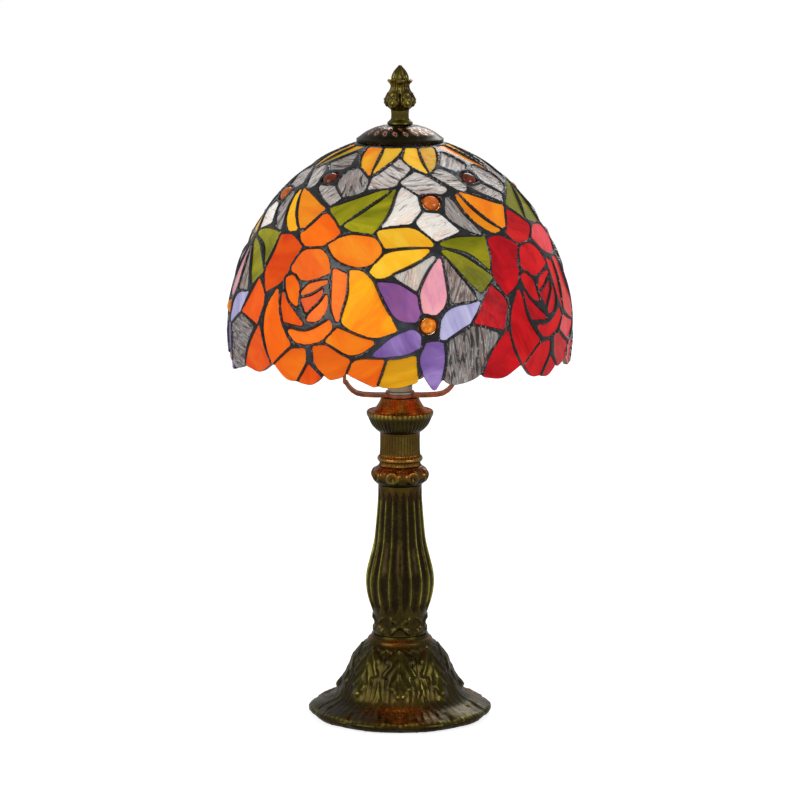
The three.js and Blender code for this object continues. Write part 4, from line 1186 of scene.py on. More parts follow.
def across_sector(angle, radius, count, shift=0.0):
    """Mm across from the middle line of the nearest of a count of equal sectors."""
    sector = TURN / count
    return np.radians(np.mod(angle + shift + 0.5 * sector, sector) - 0.5 * sector) * radius


# ------------------------------------------------------------------ foot
FOOT_LEAVES = 8
FOOT_LOBES = 10
FOOT_VEINS = 64
LEAF_START, LEAF_END, LEAF_HALF_WIDTH = 8.0, 39.0, 9.0  # mm down from the shoulder
LEAF_LOBE = 8.5
WALL = 2.6


def build_foot():
    """The bell-shaped foot, with leaves and veins that run out to a lobed rim."""
    base, top, rim = low("foot_casting"), high("foot_casting"), reach("foot_casting")
    bore = bore_round("threaded_pipe")
    bell = [
        (rim, base + 3.6), (rim - 1.2, base + 4.9), (50.0, 6.9), (45.6, 8.6), (41.4, 10.6), (38.0, 13.3),
        (35.9, 16.8), (34.2, 20.6), (31.9, 24.3), (29.6, 29.2), (27.6, 34.1), (24.2, 38.9), (20.0, 43.8),
        (17.2, 46.6),
    ]
    edge = [(rim - 2.4, base), (rim - 0.8, base + 1.4), (rim, base + 2.6)]
    outside = np.concatenate([edge, bend(bell), [(16.6, top)]])
    web = top - 4.0
    inside = np.array([
        (bore, top), (bore, web), (13.0, web), (22.0, 36.0), (28.5, 23.0), (31.5, 15.0), (36.0, 9.0),
        (44.0, 5.2), (rim - WALL - 1.8, 4.0), (rim - WALL - 1.8, base),
    ])

    def relief(angle, radius, height, run):
        down = run.max() - run
        sway = 0.45 * np.sin(0.32 * down + 2 * np.radians(angle))
        sway = sway + 0.12 * np.sin(0.9 * down - 3 * np.radians(angle))
        x = across_sector(angle, radius, FOOT_LEAVES) + sway
        along = np.clip((down - LEAF_START) / (LEAF_END - LEAF_START), 0, 1)
        lobes = 1 + 0.22 * np.sin(2 * math.pi * (down - 0.5 * np.abs(x)) / LEAF_LOBE)
        half = LEAF_HALF_WIDTH * np.sin(math.pi * along**0.9) ** 0.7 * lobes
        blade = ramp(half - np.abs(x), -0.1, 1.1)
        fold = np.cos(2 * math.pi * (down - 1.7 * np.abs(x)) / LEAF_LOBE)
        crease = hump(fold - 1, 0.30) * blade * ramp(np.abs(x), 0.6, 1.6)
        rib = hump(x, 0.5) * blade
        tip = hump(np.hypot(x, 1.1 * (down - LEAF_END + 1.5)), 3.4)
        push = blade * (0.70 + 0.15 * fold) + 0.40 * rib + 1.4 * tip
        veins = hump(across_sector(angle, radius, FOOT_VEINS) + sway, 0.32) * (1 - blade)
        drawn = veins * ramp(down, 6, 12) * (0.45 + 0.55 * np.sin(3 * np.radians(angle) + 0.2 * down) ** 2)
        push += 0.35 * drawn
        frond = across_sector(angle, radius, FOOT_LEAVES, TURN / FOOT_LEAVES / 2)
        stem = hump(np.abs(frond + 1.4 * sway) - 0.10 * np.maximum(down - 30, 0) ** 1.25, 0.6)
        stem = stem * ramp(down, 26, 31) * (1 - ramp(down, 52, 57)) * (1 - blade)
        push += 0.6 * stem
        band = hump(down - 3.4, 1.4)
        pleats = 0.5 + 0.5 * np.cos(np.radians(angle) * 26)
        hang = hump(down - 7.6 - 1.6 * pleats, 0.8)
        push += 0.6 * band + 0.45 * hang
        lobe = np.abs(np.sin(np.radians(angle) * FOOT_LOBES / 2)) ** 0.5
        push -= ramp(radius, 0.80 * rim, 0.98 * rim) * 1.5 * (1 - lobe)
        beads = 0.5 + 0.5 * np.cos(np.radians(angle) * 96)
        edge = hump(radius - rim + 1.6, 1.3) * ramp(height, base + 3, base + 4.5)
        push += 0.25 * edge * beads
        shade = 0.34 + blade * (0.06 + 0.06 * fold) + 0.20 * crease + 0.16 * rib + 0.16 * tip
        shade += 0.30 * drawn + 0.30 * stem + 0.12 * band + 0.22 * hang + edge * (0.25 + 0.25 * beads)
        shade -= 0.06 * ramp(radius, 36, 42) * (1 - edge)
        shade -= 0.32 * hump(half - np.abs(x) + 0.7, 0.6) * (along > 0) * (along < 1)
        # painted warm light: the bulb's light painted as three patches low on the bell and four on the
        # shoulder band
        warm = 0.95 * hump(down - 49, 7.5) * hump(across_sector(angle, radius, 3, 4), 15) * (1 - edge)
        warm = warm + 0.9 * hump(down - 3.6, 1.9) * hump(across_sector(angle, radius, 4, 3), 9)
        return push, np.clip(shade, 0, 1), np.clip(warm, 0, 1)

    piece = turned("foot_bell", outside, inside, 300, relief)
    raise_outlet(piece)
    cut_outlet(piece)
    return piece


def raise_outlet(piece):
    """Swells the flange into a boss that the flex's bush sits in."""
    top = high("outlet_bush") + 1.4
    places = vertex_places(piece)
    near = hump(places[:, 0], 8.2) * ramp(places[:, 1], 38, 49) * ramp(places[:, 2], 3.5, 5.6)
    places[:, 2] += near * np.maximum(top - places[:, 2], 0)
    move_vertices(piece, places)


def cut_outlet(piece):
    """Drills the foot's rim for the bush that the flex leaves by."""
    bush_low, bush_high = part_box("outlet_bush")
    middle = 0.5 * (bush_low + bush_high)
    radius = 0.5 * (bush_high.z - bush_low.z) - 1.2 * MM
    deselect_all()
    bpy.ops.mesh.primitive_cylinder_add(
        vertices=40, radius=radius, depth=24 * MM, location=middle, rotation=(math.pi / 2, 0, 0)
    )
    drill = bpy.context.object
    make_active(piece)
    cutter = piece.modifiers.new("outlet", "BOOLEAN")
    cutter.object = drill
    cutter.operation = "DIFFERENCE"
    cutter.solver = "EXACT"
    bpy.ops.object.modifier_apply(modifier=cutter.name)
    bpy.data.objects.remove(drill)


# ------------------------------------------------------------------ column
FLUTES = 18
FLUTE_DEPTH = 1.7
FLUTE_START, FLUTE_END = 61.5, 136.5
BOWS = 6


def build_column():
    """The baluster: flutes between narrow ridges, over a waist tied with crossed ribbons."""
    base, top = low("column_casting"), high("column_casting")
    bore = bore_round("threaded_pipe")
    outside = bend([
        (15.5, base), (15.3, 52.0), (15.4, 57.0), (15.9, 60.7), (17.0, 64.2), (18.5, 68.6), (19.7, 73.5),
        (20.3, 78.5), (20.3, 82.5), (19.5, 87.5), (18.3, 92.2), (17.1, 96.9), (15.9, 101.7), (15.1, 106.5),
        (14.6, 111.5), (14.1, 117.0), (13.6, 123.5), (13.1, 130.0), (12.8, top),
    ], 0.75)
    inside = np.array([(bore, top), (bore, top - 5), (10.0, top - 7), (12.0, 80.0), (12.0, base)])

    def relief(angle, radius, height, run):
        across = np.abs(2 * np.mod(angle * FLUTES / TURN, 1) - 1)
        share = ramp(height, FLUTE_START + 4 * across, FLUTE_START + 4 * across + 4)
        share = share * (1 - ramp(height, FLUTE_END - 5 * across - 3, FLUTE_END - 5 * across))
        groove = np.sqrt(np.clip(1 - across**2, 0, 1)) * share
        ridge = across**4 * share
        push = -FLUTE_DEPTH * groove * np.clip(radius / 20, 0.6, 1)
        x = across_sector(angle, radius, BOWS)
        y = height - 55.2
        tied = ramp(5.4 - np.abs(y), 0, 0.8)
        loop = hump(np.abs(x) - 1.05 * np.abs(y) - 0.4, 1.3) * tied
        knot = hump(np.hypot(x, y), 1.5)
        push += 1.0 * loop + 0.8 * knot
        fold = hump(np.abs(x) - 4.6, 1.2) * hump(np.abs(y) - 3.0, 1.4)
        push += 0.5 * fold
        shade = 0.34 + 0.60 * ridge - 0.28 * groove + 0.08 * loop + 0.12 * fold - 0.10 * tied
        # painted warm light: the bulb's light painted on the top of the column
        warm = 0.25 * ramp(height, top - 10, top)
        return push, np.clip(shade, 0, 1), warm

    return turned("fluted_column", outside, inside, FLUTES * 16, relief)


# ------------------------------------------------------------------ collar, neck and cup
MEDALLIONS = 8
NECK_RIBS = 40
CUP_TEETH = 44


def build_collar():
    """A thick roll set with dimpled medallions."""
    base, top, girth = low("collar_casting"), high("collar_casting"), reach("collar_casting")
    bore = bore_round("threaded_pipe")
    outside = bend([
        (13.0, base), (14.4, base + 1.0), (15.7, base + 3.0), (girth, base + 5.8), (15.9, base + 8.3),
        (14.2, base + 10.2), (13.0, top),
    ], 0.45)
    inside = np.array([(bore, top), (bore, base)])

    def relief(angle, radius, height, run):
        x = across_sector(angle, radius, MEDALLIONS, TURN / MEDALLIONS / 2 - 6)
        away = np.hypot(x, 1.1 * (height - base - 5.6))
        ring = hump(away - 3.1, 1.0)
        dimple = hump(away, 1.5)
        between = ramp(away, 4.0, 5.2)
        push = 0.6 * ring - 1.2 * dimple - 0.7 * between * hump(height - base - 5.6, 4)
        shade = 0.42 + 0.28 * ring - 0.5 * dimple - 0.15 * between
        # painted warm light: the bulb's light painted on the collar's upper half, less in the dimples
        warm = 0.9 * ramp(height, base + 3.0, base + 7.0) * (1 - 0.5 * dimple)
        return push, np.clip(shade, 0, 1), warm

    return turned("medallion_collar", outside, inside, 224, relief)


def build_neck():
    """A ribbed drum with one smooth ring."""
    base, top = low("neck_casting"), high("neck_casting")
    girth = reach("neck_casting")
    bore = bore_round("threaded_pipe")
    drum = 12.0
    ring_height = base + 3.9
    outside = np.concatenate([
        bend([(drum + 0.6, base), (drum + 0.1, base + 0.8), (drum, ring_height - 1.8)], 0.5),
        bend([(drum + 0.6, ring_height - 1.6), (girth - 0.2, ring_height - 0.8), (girth, ring_height),
              (girth - 0.2, ring_height + 0.8), (drum + 0.4, ring_height + 1.7)], 0.4),
        bend([(drum, ring_height + 2.2), (drum - 0.25, base + 10), (drum - 0.3, top - 1.5),
              (drum - 0.1, top)], 0.6),
    ])
    inside = np.array([(bore, top), (bore, top - 2.2), (9.0, top - 4.2), (9.0, base)])

    def relief(angle, radius, height, run):
        ribs = 0.5 + 0.5 * np.cos(np.radians(angle) * NECK_RIBS)
        ring = hump(height - ring_height, 1.7)
        ribbed = (1 - ring) * (1 - ramp(height, top - 1.6, top - 0.6))
        push = -0.5 * (1 - ribs) * ribbed
        shade = 0.30 + 0.34 * ribs * ribbed + 0.6 * hump(height - ring_height - 0.4, 1.2)
        # painted warm light: a warm share over the whole neck, more on the ring and towards its foot
        warm = 0.30 + 0.35 * ring + 0.2 * ramp(height, base + 9, base + 5)
        return push, np.clip(shade, 0, 1), warm

    return turned("ribbed_neck", outside, inside, NECK_RIBS * 6, relief)


def build_cup():
    """The cup under the bulb holder: a serrated underside, a beaded rim and a smooth hub."""
    base, top, girth = low("cup_casting"), high("cup_casting"), reach("cup_casting")
    bore = bore_round("threaded_pipe")
    hub = 11.4
    outside = np.concatenate([
        bend([(12.2, base), (13.6, base + 0.9), (16.7, base + 4.2), (girth - 0.7, base + 8.9)], 0.5),
        bend([(girth, base + 10.2), (girth, base + 11.6), (girth - 0.5, base + 12.5),
              (girth - 1.6, base + 12.6)], 0.4),
        bend([(16.6, base + 12.0), (14.8, base + 13.6), (13.2, base + 15.8), (12.0, base + 17.8),
              (hub, base + 19.2), (hub - 0.4, top)], 0.6),
    ])
    inside = np.array([(bore, top), (bore, base)])

    def relief(angle, radius, height, run):
        teeth = np.abs(np.cos(np.radians(angle) * CUP_TEETH / 2))
        under = ramp(height, base + 1, base + 3) * (1 - ramp(height, base + 8, base + 9.5))
        rim = hump(height - base - 11.2, 1.6) * ramp(radius, girth - 3, girth - 1)
        push = -0.55 * under * (1 - teeth) - 0.35 * rim * (1 - teeth)
        hollow = hump(radius - 17, 1.5) * ramp(height, base + 11.5, base + 12)
        upper = np.clip(ramp(height, base + 12.0, base + 13.2) + hollow, 0, 1)
        shade = 0.24 + 0.2 * under * teeth + rim * (0.25 + 0.55 * teeth) + 0.2 * upper
        # painted warm light: the bulb's light painted on the cup's upper faces and its rim
        warm = np.clip(0.95 * upper + 0.35 * rim, 0, 1)
        return push, np.clip(shade, 0, 1), warm

    return turned("cup", outside, inside, CUP_TEETH * 6, relief)


# ------------------------------------------------------------------ finial
BUD_FLUTES = 12
LEAF_TIPS = 6
FINIAL_FACETS = 8


def build_finial():
    """A fluted bud in a ring of leaf tips, over a bulb of curled leaves, a faceted neck and a collar."""
    base, top, girth = low("finial"), high("finial"), reach("finial")
    bore = bore_round("finial_insert")
    depth = high("finial_insert") + 0.4
    outside = np.concatenate([
        bend([(6.6, base), (7.3, base + 0.7), (7.4, base + 1.7), (6.7, base + 2.5), (5.9, base + 3.2)], 0.35),
        bend([(5.6, base + 3.8), (5.5, base + 6.5), (5.7, base + 9.2)], 0.5),
        bend([(6.4, base + 10.0), (7.9, base + 11.5), (girth, base + 13.6), (8.4, base + 16.2),
              (7.2, base + 18.6), (6.0, base + 20.8), (5.6, base + 22.6), (6.1, base + 24.2),
              (7.6, base + 26.0)], 0.4),
        bend([(7.0, base + 26.5), (5.5, base + 26.4), (5.2, base + 27.4), (4.6, base + 29.4),
              (3.3, base + 31.8), (1.7, base + 33.6), (0.7, top)], 0.4),
    ])
    inside = np.array([(0.0, top), (0.0, depth), (bore, depth), (bore, base)])

    def relief(angle, radius, height, run):
        up = height - base
        bud = ramp(up, 26.6, 27.6)
        flutes = 0.5 + 0.5 * np.cos(np.radians(angle) * BUD_FLUTES)
        push = -0.5 * bud * (1 - flutes) * np.clip(radius / 3, 0, 1)
        tips = np.abs(np.cos(np.radians(angle) * LEAF_TIPS / 2)) ** 0.7
        flare = hump(up - 25.6, 1.9) * (1 - bud)
        push += flare * (0.5 - 1.9 * (1 - tips))
        x = across_sector(angle, radius, LEAF_TIPS, TURN / LEAF_TIPS / 2)
        curl = np.hypot(x, 1.3 * (up - 13.2))
        leaf = hump(curl - 2.5, 0.55) + 0.8 * hump(np.hypot(x, up - 17.0) - 1.9, 0.5) * (up > 15)
        eye = hump(curl, 1.2)
        belly = ramp(up, 10, 11.5) * (1 - ramp(up, 18.5, 20))
        seam = across_sector(angle, radius, LEAF_TIPS)
        push += belly * (0.55 * leaf + 0.6 * eye - 0.8 * hump(seam, 0.6))
        veins = hump(across_sector(angle, radius, 4 * LEAF_TIPS), 0.3)
        veins = veins * ramp(up, 17, 19) * (1 - ramp(up, 24, 25.5))
        push -= 0.3 * veins
        sector = TURN / FINIAL_FACETS
        facet = np.mod(angle + 0.5 * sector, sector) - 0.5 * sector
        neck = 1.4 * ramp(up, 3.4, 4.2) * (1 - ramp(up, 8.6, 9.6))
        push += neck * radius * (math.cos(math.pi / FINIAL_FACETS) / np.cos(np.radians(facet)) - 1)
        shade = 0.40 + 0.3 * bud * (flutes - 0.5) + 0.35 * flare * tips
        shade = shade + belly * (0.40 * leaf + 0.5 * eye - 0.1)
        shade -= belly * 0.35 * hump(seam, 0.6) + 0.2 * veins
        return push, np.clip(shade, 0, 1), 0 * shade

    return turned("finial_bud", outside, inside, 192, relief)


# ------------------------------------------------------------------ pierced cap
CAP_ROWS = ((13.9, 16, 3.6, 1.5, 28), (18.9, 20, 3.8, 1.6, 28))  # radius, count, length, width, slant
CAP_THICKNESS = 1.2
CAP_STEP = 0.9  # mm between the points between the holes
STUD_GAP = 0.35  # mm between the cap and the stud through it


def turned_by(points, angle):
    """Points in the plane, turned round the origin by an angle in radians."""
    x, y = points[:, 0], points[:, 1]
    cos, sin = math.cos(angle), math.sin(angle)
    return np.stack([x * cos - y * sin, x * sin + y * cos], 1)


def ring_points(radius, turns):
    """Points on a circle at turns in degrees."""
    turns = np.radians(turns)
    return np.stack([radius * np.cos(turns), radius * np.sin(turns)], 1)


def cap_leaves():
    """The outline of each leaf-shaped hole, and its middle, turn, half length and half width."""
    outlines, leaves = [], []
    for row, (radius, count, length, width, slant) in enumerate(CAP_ROWS):
        share = np.linspace(-1, 1, 6)
        half = 0.5 * width * (1 - share**2)
        near_side = np.stack([0.5 * length * share, half], 1)
        far_side = np.stack([0.5 * length * share, -half], 1)[-2:0:-1]
        lean = math.radians(slant)
        leaf = turned_by(np.concatenate([near_side, far_side]), lean) + (radius, 0)
        for number in range(count):
            turn = 2 * math.pi * (number + 0.5 * row) / count
            outlines.append(turned_by(leaf, turn))
            place = (radius * math.cos(turn), radius * math.sin(turn))
            leaves.append((*place, turn + lean, 0.5 * length, 0.5 * width))
    return outlines, np.array(leaves)


def cap_filling(inner, outer, leaves):
    """Points on circles between two radii, clear of the holes."""
    rings = []
    for radius in np.arange(inner + CAP_STEP, outer - 0.4, CAP_STEP):
        count = round(2 * math.pi * radius / CAP_STEP)
        rings.append(ring_points(radius, np.arange(count) * TURN / count))
    points = np.concatenate(rings)
    away = np.hypot(points[:, :1] - leaves[:, 0], points[:, 1:] - leaves[:, 1])
    return points[np.all(away > 0.55 * (leaves[:, 3] + 0.5), axis=1)]


def build_cap():
    """The domed cap, pierced with rows of small slanted leaves."""
    base, top, girth = low("shade_cap"), high("shade_cap"), reach("shade_cap")
    bore = reach("harp_stud") + STUD_GAP
    loops, leaves = cap_leaves()
    loops += [ring_points(girth, np.arange(0, TURN, 3)), ring_points(bore, np.arange(0, TURN, 12))]
    flat = np.concatenate(loops + [cap_filling(bore, girth, leaves)])
    outer = len(loops) - 2
    triangles, inside = triangulate(flat, chains_of(loops))
    kept = [t for t, owners in zip(triangles, inside) if owners == {outer}]
    used = sorted({i for t in kept for i in t})
    renumber = {old: new for new, old in enumerate(used)}
    kept = [tuple(renumber[i] for i in t) for t in kept]
    flat = flat[used]

    radius = np.hypot(*flat.T)
    dome = bend([
        (bore, top - 0.2), (9.0, top), (13.3, top - 0.5), (17.4, top - 2.1), (20.9, top - 4.0),
        (23.6, top - 6.1), (girth, base + CAP_THICKNESS + 0.7),
    ], 0.4)
    height = np.interp(radius, dome[:, 0], dome[:, 1])
    roll = 0.25 * hump(radius - girth + 0.9, 0.8) + 0.6 * hump(radius - 10.9, 0.6)
    upper = np.column_stack([flat, height + 0.5 * roll])
    lower = np.column_stack([flat, height - CAP_THICKNESS])
    piece = mesh_piece("pierced_cap", np.concatenate([upper, lower]), closed_shell(kept, len(upper)), 45)

    middle_x, middle_y, lean, long, wide = leaves.T
    off_x, off_y = flat[:, :1] - middle_x, flat[:, 1:] - middle_y
    along = off_x * np.cos(lean) + off_y * np.sin(lean)
    across = off_y * np.cos(lean) - off_x * np.sin(lean)
    near_hole = np.min(np.hypot(along / long, across / wide), axis=1) - 1
    add_attribute(piece, "relief", np.tile(np.clip(0.30 + 0.5 * roll, 0, 1), 2))
    # painted highlight: bright copper round the edges of the holes, carried by the painted warm light
    # attribute
    add_attribute(piece, "warm", np.tile(hump(near_hole, 0.24), 2))
    return piece


# ------------------------------------------------------------------ jewels
JEWEL_SLICES, JEWEL_RINGS = 28, 14
JEWEL_DOME, JEWEL_BACK = 3.3, 2.0  # mm from the jewel's seat to its front and its back
JEWEL_SETTING = 0.4  # mm of the seat's radius that the solder takes
JEWEL_SINK = 1.0  # mm that the seat lies under the dome's surface


def build_jewel(kind, number):
    """A pressed cabochon: a dome outside, a shallower one inside, set in the ring of solder."""
    _, angle = jewel_middle(kind, number)
    _, _, drop, radius = next(place for place in jewel_places() if place[0] == kind)
    seat = on_dome(angle, drop, -JEWEL_SINK)
    normal = outward(angle, drop)
    deselect_all()
    bpy.ops.mesh.primitive_uv_sphere_add(
        segments=JEWEL_SLICES, ring_count=JEWEL_RINGS, radius=1.0, location=(0, 0, 0)
    )
    piece = bpy.context.object
    piece.name = piece.data.name = f"{kind}_cabochon_{number}"
    sphere = vertex_places(piece) * MM
    up = sphere[:, 2]
    height = np.where(up > 0, JEWEL_DOME * up, JEWEL_BACK * up)
    places = np.column_stack([sphere[:, :2] * (radius - JEWEL_SETTING), height])
    upright = Vector((0, 0, 1)).rotation_difference(Vector(normal)).to_matrix()
    move_vertices(piece, places @ np.array(upright).T + seat)
    make_active(piece)
    bpy.ops.object.shade_smooth()
    return piece


# ------------------------------------------------------------------ shared steps
PANELS = {
    "amber": "tulip",
    "bud": "tulip",
    "olive": "tulip",
    "streaky": "background",
    "orange": "rose",
    "red": "rose",
}


def panel_of(kind):
    """The frame's panel that a sheet of glass stands for."""
    family = kind.split("_")[0]
    return "flower" if kind == "amber_dark" else PANELS.get(family, "flower")


def shared_pattern():
    """The shade's pattern, drawn once and kept for the glass and the solder."""
    if not hasattr(shared_pattern, "drawn"):
        shared_pattern.drawn = Pattern()
    return shared_pattern.drawn


def finish_nodes(finishes, body):
    """Gives each named node of the frame its material."""
    for node, material in finishes.items():
        give(NODES[node], material, body)


# ------------------------------------------------------------------ operators
class LAMP_OT_solder(bpy.types.Operator):
    """Build the frame of solder between the pieces of glass"""

    bl_idname = "lamp.solder"
    bl_label = "Solder frame"

    def execute(self, context):
        give(build_solder(shared_pattern()), solder_finish(), "shade")
        return {"FINISHED"}


class LAMP_OT_glass(bpy.types.Operator):
    """Cut the pieces of glass and set them in the dome"""

    bl_idname = "lamp.glass"
    bl_label = "Glass"

    def execute(self, context):
        finishes = sheet_finishes()
        for kind, piece in build_glass(shared_pattern()).items():
            material, slot = finishes[kind]
            give(piece, material, "shade")
            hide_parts(*[f"{panel_of(kind)}_panel_{n}" for n in range(1, REPEATS + 1)])
        return {"FINISHED"}


class LAMP_OT_jewels(bpy.types.Operator):
    """Set the pressed glass jewels"""

    bl_idname = "lamp.jewels"
    bl_label = "Jewels"

    def execute(self, context):
        # each jewel's last number is its painted glow
        finishes = {
            "upper_jewel": jewel_finish("Dark amber jewel", (0.20, 0.030, 0.006), 0.06),
            "middle_jewel": jewel_finish("Amber jewel", (0.60, 0.13, 0.008), 0.14),
            "flower_jewel": jewel_finish("Golden jewel", (0.80, 0.24, 0.008), 0.26),
        }
        for kind, material in finishes.items():
            for n in range(1, REPEATS + 1):
                piece = give(build_jewel(kind, n), material, "shade")
                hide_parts(f"{kind}_{n}")
        return {"FINISHED"}


class LAMP_OT_cap(bpy.types.Operator):
    """Make the pierced cap and finish the ring under it"""

    bl_idname = "lamp.cap"
    bl_label = "Pierced cap"

    def execute(self, context):
        # the last colour is the painted highlight round the cap's holes
        bronze = cast_finish("Dark cap bronze", 0.38, 1.0, (0.18, 0.30), (0.85, 0.52, 0.38))
        piece = give(build_cap(), bronze, "shade")
        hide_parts("shade_cap")
        finish_nodes({"shade_ring": solder_finish()}, "shade")
        return {"FINISHED"}


class LAMP_OT_finial(bpy.types.Operator):
    """Turn the finial and press its leaves"""

    bl_idname = "lamp.finial"
    bl_label = "Finial"

    def execute(self, context):
        brass = cast_finish("Olive brass casting", 2.3, 0.0, (0.14, 0.26))
        piece = give(build_finial(), brass, "finial")
        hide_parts("finial")
        return {"FINISHED"}


class LAMP_OT_foot(bpy.types.Operator):
    """Turn the bell foot and press its leaves and veins"""

    bl_idname = "lamp.foot"
    bl_label = "Foot"

    def execute(self, context):
        piece = give(build_foot(), cast_finish("Antique bronze foot", 0.82, 0.8), "stand")
        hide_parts("foot_casting")
        return {"FINISHED"}


class LAMP_OT_column(bpy.types.Operator):
    """Turn the fluted column"""

    bl_idname = "lamp.column"
    bl_label = "Column"

    def execute(self, context):
        piece = give(build_column(), cast_finish("Antique bronze column", 1.35), "stand")
        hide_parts("column_casting")
        return {"FINISHED"}


class LAMP_OT_collar(bpy.types.Operator):
    """Turn the collar and press its medallions"""

    bl_idname = "lamp.collar"
    bl_label = "Collar"

    def execute(self, context):
        piece = give(build_collar(), cast_finish("Antique bronze collar", 1.0, 0.7), "stand")
        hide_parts("collar_casting")
        return {"FINISHED"}


class LAMP_OT_neck(bpy.types.Operator):
    """Turn the ribbed neck"""

    bl_idname = "lamp.neck"
    bl_label = "Neck"

    def execute(self, context):
        # the last colour is the painted warm light on the neck
        bronze = cast_finish("Antique bronze neck", 1.0, 0.8, (0.22, 0.34), (0.42, 0.19, 0.035))
        piece = give(build_neck(), bronze, "stand")
        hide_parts("neck_casting")
        return {"FINISHED"}


class LAMP_OT_cup(bpy.types.Operator):
    """Turn the cup under the bulb holder"""

    bl_idname = "lamp.cup"
    bl_label = "Cup"

    def execute(self, context):
        # the last colour is the painted warm light on the cup
        bronze = cast_finish("Antique bronze cup", 0.9, 1.0, (0.24, 0.36), (0.42, 0.20, 0.035))
        piece = give(build_cup(), bronze, "stand")
        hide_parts("cup_casting")
        return {"FINISHED"}


class LAMP_OT_fittings(bpy.types.Operator):
    """Finish the pipe, nuts, washers, bush, plate and felt"""

    bl_idname = "lamp.fittings"
    bl_label = "Fittings"

    def execute(self, context):
        steel = plain_finish("Zinc-plated steel", (0.42, 0.41, 0.38), 1.0, (0.28, 0.45))
        brass = plain_finish("Old brass", (0.30, 0.20, 0.055), 0.95, (0.25, 0.42))
        phenolic = plain_finish("Brown phenolic", (0.022, 0.012, 0.007), 0.0, (0.28, 0.42))
        felt_green = (0.022, 0.055, 0.030)
        felt = plain_finish("Green felt", felt_green, 0.0, (0.9, 1.0), 900, 0.4, 0.3, Sheen_Weight=0.6)
        plate = plain_finish("Pressed steel plate", (0.16, 0.15, 0.13), 0.9, (0.4, 0.6))
        finish_nodes({
            "threaded_pipe": steel, "pipe_nut": steel, "pipe_washer": steel, "lock_washer": steel,
            "base_plate": plate, "felt_pad": felt, "outlet_bush": phenolic,
        }, "stand")
        finish_nodes({"seat_washer": brass, "finial_insert": brass}, None)
        return {"FINISHED"}


class LAMP_OT_harp(bpy.types.Operator):
    """Finish the copper harp and its stud"""

    bl_idname = "lamp.harp"
    bl_label = "Harp"

    def execute(self, context):
        copper = plain_finish("Coppered harp strip", (0.40, 0.13, 0.060), 1.0, (0.24, 0.44), 120, 0.45)
        brass = plain_finish("Stud brass", (0.34, 0.23, 0.07), 0.95, (0.25, 0.4))
        finish_nodes({"harp": copper, "harp_stud": brass}, "stand")
        return {"FINISHED"}


class LAMP_OT_bulb(bpy.types.Operator):
    """Finish the bulb and the holder that it screws into"""

    bl_idname = "lamp.bulb"
    bl_label = "Bulb and holder"

    def execute(self, context):
        phenolic = plain_finish("Holder phenolic", (0.018, 0.011, 0.007), 0.0, (0.22, 0.38), Coat_Weight=0.3)
        porcelain = plain_finish("Glazed porcelain", (0.72, 0.69, 0.60), 0.0, (0.12, 0.25), 90, 0.08)
        brass = plain_finish("Contact brass", (0.50, 0.35, 0.11), 1.0, (0.2, 0.35))
        nickel = plain_finish("Nickel-plated cap", (0.55, 0.53, 0.49), 1.0, (0.18, 0.32))
        stem = plain_finish("Bulb stem glass", (0.80, 0.84, 0.82), 0.0, (0.05, 0.12), Transmission_Weight=0.8)
        wire = plain_finish("Hot tungsten", (1.0, 0.62, 0.25), 0.5, (0.4, 0.6), Emission_Strength=20.0)
        wire.node_tree.nodes["Principled BSDF"].inputs["Emission Color"].default_value = (1.0, 0.55, 0.2, 1.0)
        finish_nodes({
            "holder_cap": ferruled_finish(), "holder_body": phenolic, "holder_insulator": porcelain,
            "screw_shell": brass, "centre_contact": brass, "terminal_screw_live": brass,
            "terminal_screw_neutral": nickel, "bulb_contact": brass, "bulb_screw_cap": nickel,
            "bulb_glass": bulb_finish(), "bulb_stem": stem, "bulb_filament": wire,
        }, None)
        return {"FINISHED"}


# ------------------------------------------------------------------ stage
CAMERA_DISTANCE = 2.1  # m
CAMERA_HEIGHT = 0.54
CAMERA_PITCH = 9.52  # degrees downwards
FLOOR_SIZE = 16  # m
FLOOR_SINK = 0.0002  # m under the lamp's felt
SURROUND_LIGHT = 0.38  # of the surround on the lamp, less than it shows
FLOOR_LIGHT = 0.80  # of the floor as it shows
FLOOR_BOUNCE = 0.12  # of the floor on the lamp


def stage_light(name, size, power, place, aim):
    """A soft square light at a place, facing another."""
    aimed = (Vector(aim) - Vector(place)).to_track_quat("-Z", "Y").to_euler()
    bpy.ops.object.light_add(type="AREA", location=place, rotation=aimed)
    light = bpy.context.object
    light.name = name
    light.data.size = size
    light.data.energy = power


def white_surround():
    """A white backdrop whose light on the lamp is dimmer than it looks."""
    world = bpy.data.worlds.new("White surround")
    world.use_nodes = True
    nodes, links = world.node_tree.nodes, world.node_tree.links
    surround = nodes["Background"].inputs
    surround["Color"].default_value = (1.0, 1.0, 1.0, 1.0)
    seen = nodes.new("ShaderNodeLightPath")
    strength = nodes.new("ShaderNodeMapRange")
    strength.inputs["To Min"].default_value = SURROUND_LIGHT
    strength.inputs["To Max"].default_value = stage_settings().background
    links.new(seen.outputs["Is Camera Ray"], strength.inputs["Value"])
    links.new(strength.outputs["Result"], surround["Strength"])
    return world


def floor_finish():
    """White paper, lit evenly from below, under the lamp's own soft shadow."""
    finish = Finish("White floor")
    grain = finish.noise(finish.place(), 4, 2.0)
    paper = finish.mix(finish.spread(grain, 0.3, 0.7), (0.50, 0.50, 0.50, 1), (0.52, 0.52, 0.52, 1))
    seen = finish.node("ShaderNodeLightPath").outputs["Is Camera Ray"]
    finish.set(Base_Color=paper, Roughness=0.7, Specular_IOR_Level=0.1, Emission_Color=(1.0, 1.0, 1.0, 1.0))
    finish.set(Emission_Strength=finish.spread(seen, 0.0, 1.0, FLOOR_BOUNCE, FLOOR_LIGHT))
    return finish.material


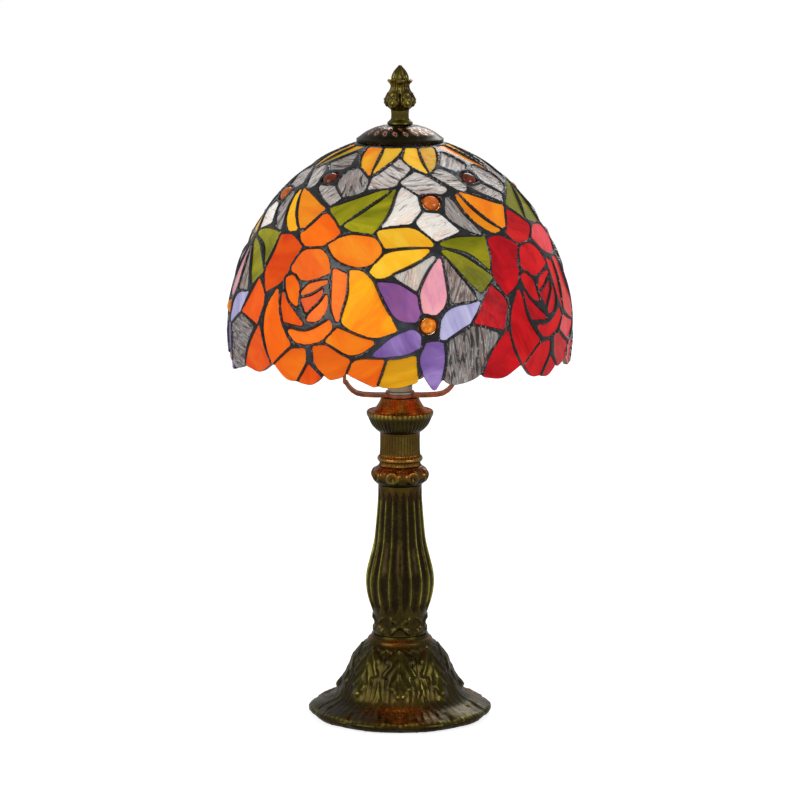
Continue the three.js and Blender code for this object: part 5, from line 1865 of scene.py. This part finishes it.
class LAMP_OT_stage(bpy.types.Operator):
    """Lay the pale floor and set the lights and the camera"""

    bl_idname = "lamp.stage"
    bl_label = "Stage"

    def execute(self, context):
        scene = context.scene
        scene.view_settings.view_transform = "Standard"
        scene.world = white_surround()

        deselect_all()
        bpy.ops.mesh.primitive_plane_add(size=FLOOR_SIZE, location=(0, 0, -FLOOR_SINK))
        floor = context.object
        floor.name = "floor"
        floor.data.materials.append(floor_finish())

        stage_light("key light", size=1.5, power=18, place=(-1.6, -1.3, 1.1), aim=(0, 0, 0.2))
        stage_light("fill light", size=0.7, power=9, place=(1.4, -1.1, 0.9), aim=(0, 0, 0.2))
        stage_light("back light", size=1.0, power=10, place=(0.3, 1.5, 1.3), aim=(0, 0, 0.25))

        tilt = (math.radians(90 - CAMERA_PITCH), 0, 0)
        bpy.ops.object.camera_add(location=(0, -CAMERA_DISTANCE, CAMERA_HEIGHT), rotation=tilt)
        camera = context.object
        camera.data.lens = stage_settings().lens
        camera.data.clip_end = 60
        scene.camera = camera
        return {"FINISHED"}


# ------------------------------------------------------------------ add-on
SETTINGS = {
    "lamp_shade": LampShadeSettings,
    "lamp_glass": LampGlassColours,
    "lamp_metal": LampMetalColours,
    "lamp_stage": LampStageSettings,
}
OPERATORS = (
    LAMP_OT_stage,
    LAMP_OT_fittings,
    LAMP_OT_foot,
    LAMP_OT_column,
    LAMP_OT_collar,
    LAMP_OT_neck,
    LAMP_OT_cup,
    LAMP_OT_harp,
    LAMP_OT_bulb,
    LAMP_OT_solder,
    LAMP_OT_glass,
    LAMP_OT_jewels,
    LAMP_OT_cap,
    LAMP_OT_finial,
)


class LAMP_PT_sidebar(bpy.types.Panel):
    """The lamp's settings and the steps that build it"""

    bl_idname = "LAMP_PT_sidebar"
    bl_label = "Leaded Glass Table Lamp"
    bl_space_type = "VIEW_3D"
    bl_region_type = "UI"
    bl_category = "Table Lamp"

    def draw(self, context):
        for name, group in SETTINGS.items():
            box = self.layout.box()
            box.label(text=group.__doc__)
            for setting in group.__annotations__:
                box.prop(getattr(context.scene, name), setting)
        for operator in OPERATORS:
            self.layout.operator(operator.bl_idname)


def register():
    for name, group in SETTINGS.items():
        bpy.utils.register_class(group)
        setattr(bpy.types.Scene, name, PointerProperty(type=group))
    for operator in OPERATORS:
        bpy.utils.register_class(operator)
    bpy.utils.register_class(LAMP_PT_sidebar)


def unregister():
    bpy.utils.unregister_class(LAMP_PT_sidebar)
    for operator in reversed(OPERATORS):
        bpy.utils.unregister_class(operator)
    for name, group in reversed(SETTINGS.items()):
        delattr(bpy.types.Scene, name)
        bpy.utils.unregister_class(group)


def main():
    register()
    for operator in OPERATORS:
        family, action = operator.bl_idname.split(".")
        getattr(getattr(bpy.ops, family), action)()
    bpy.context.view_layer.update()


if __name__ == "__main__":
    main()
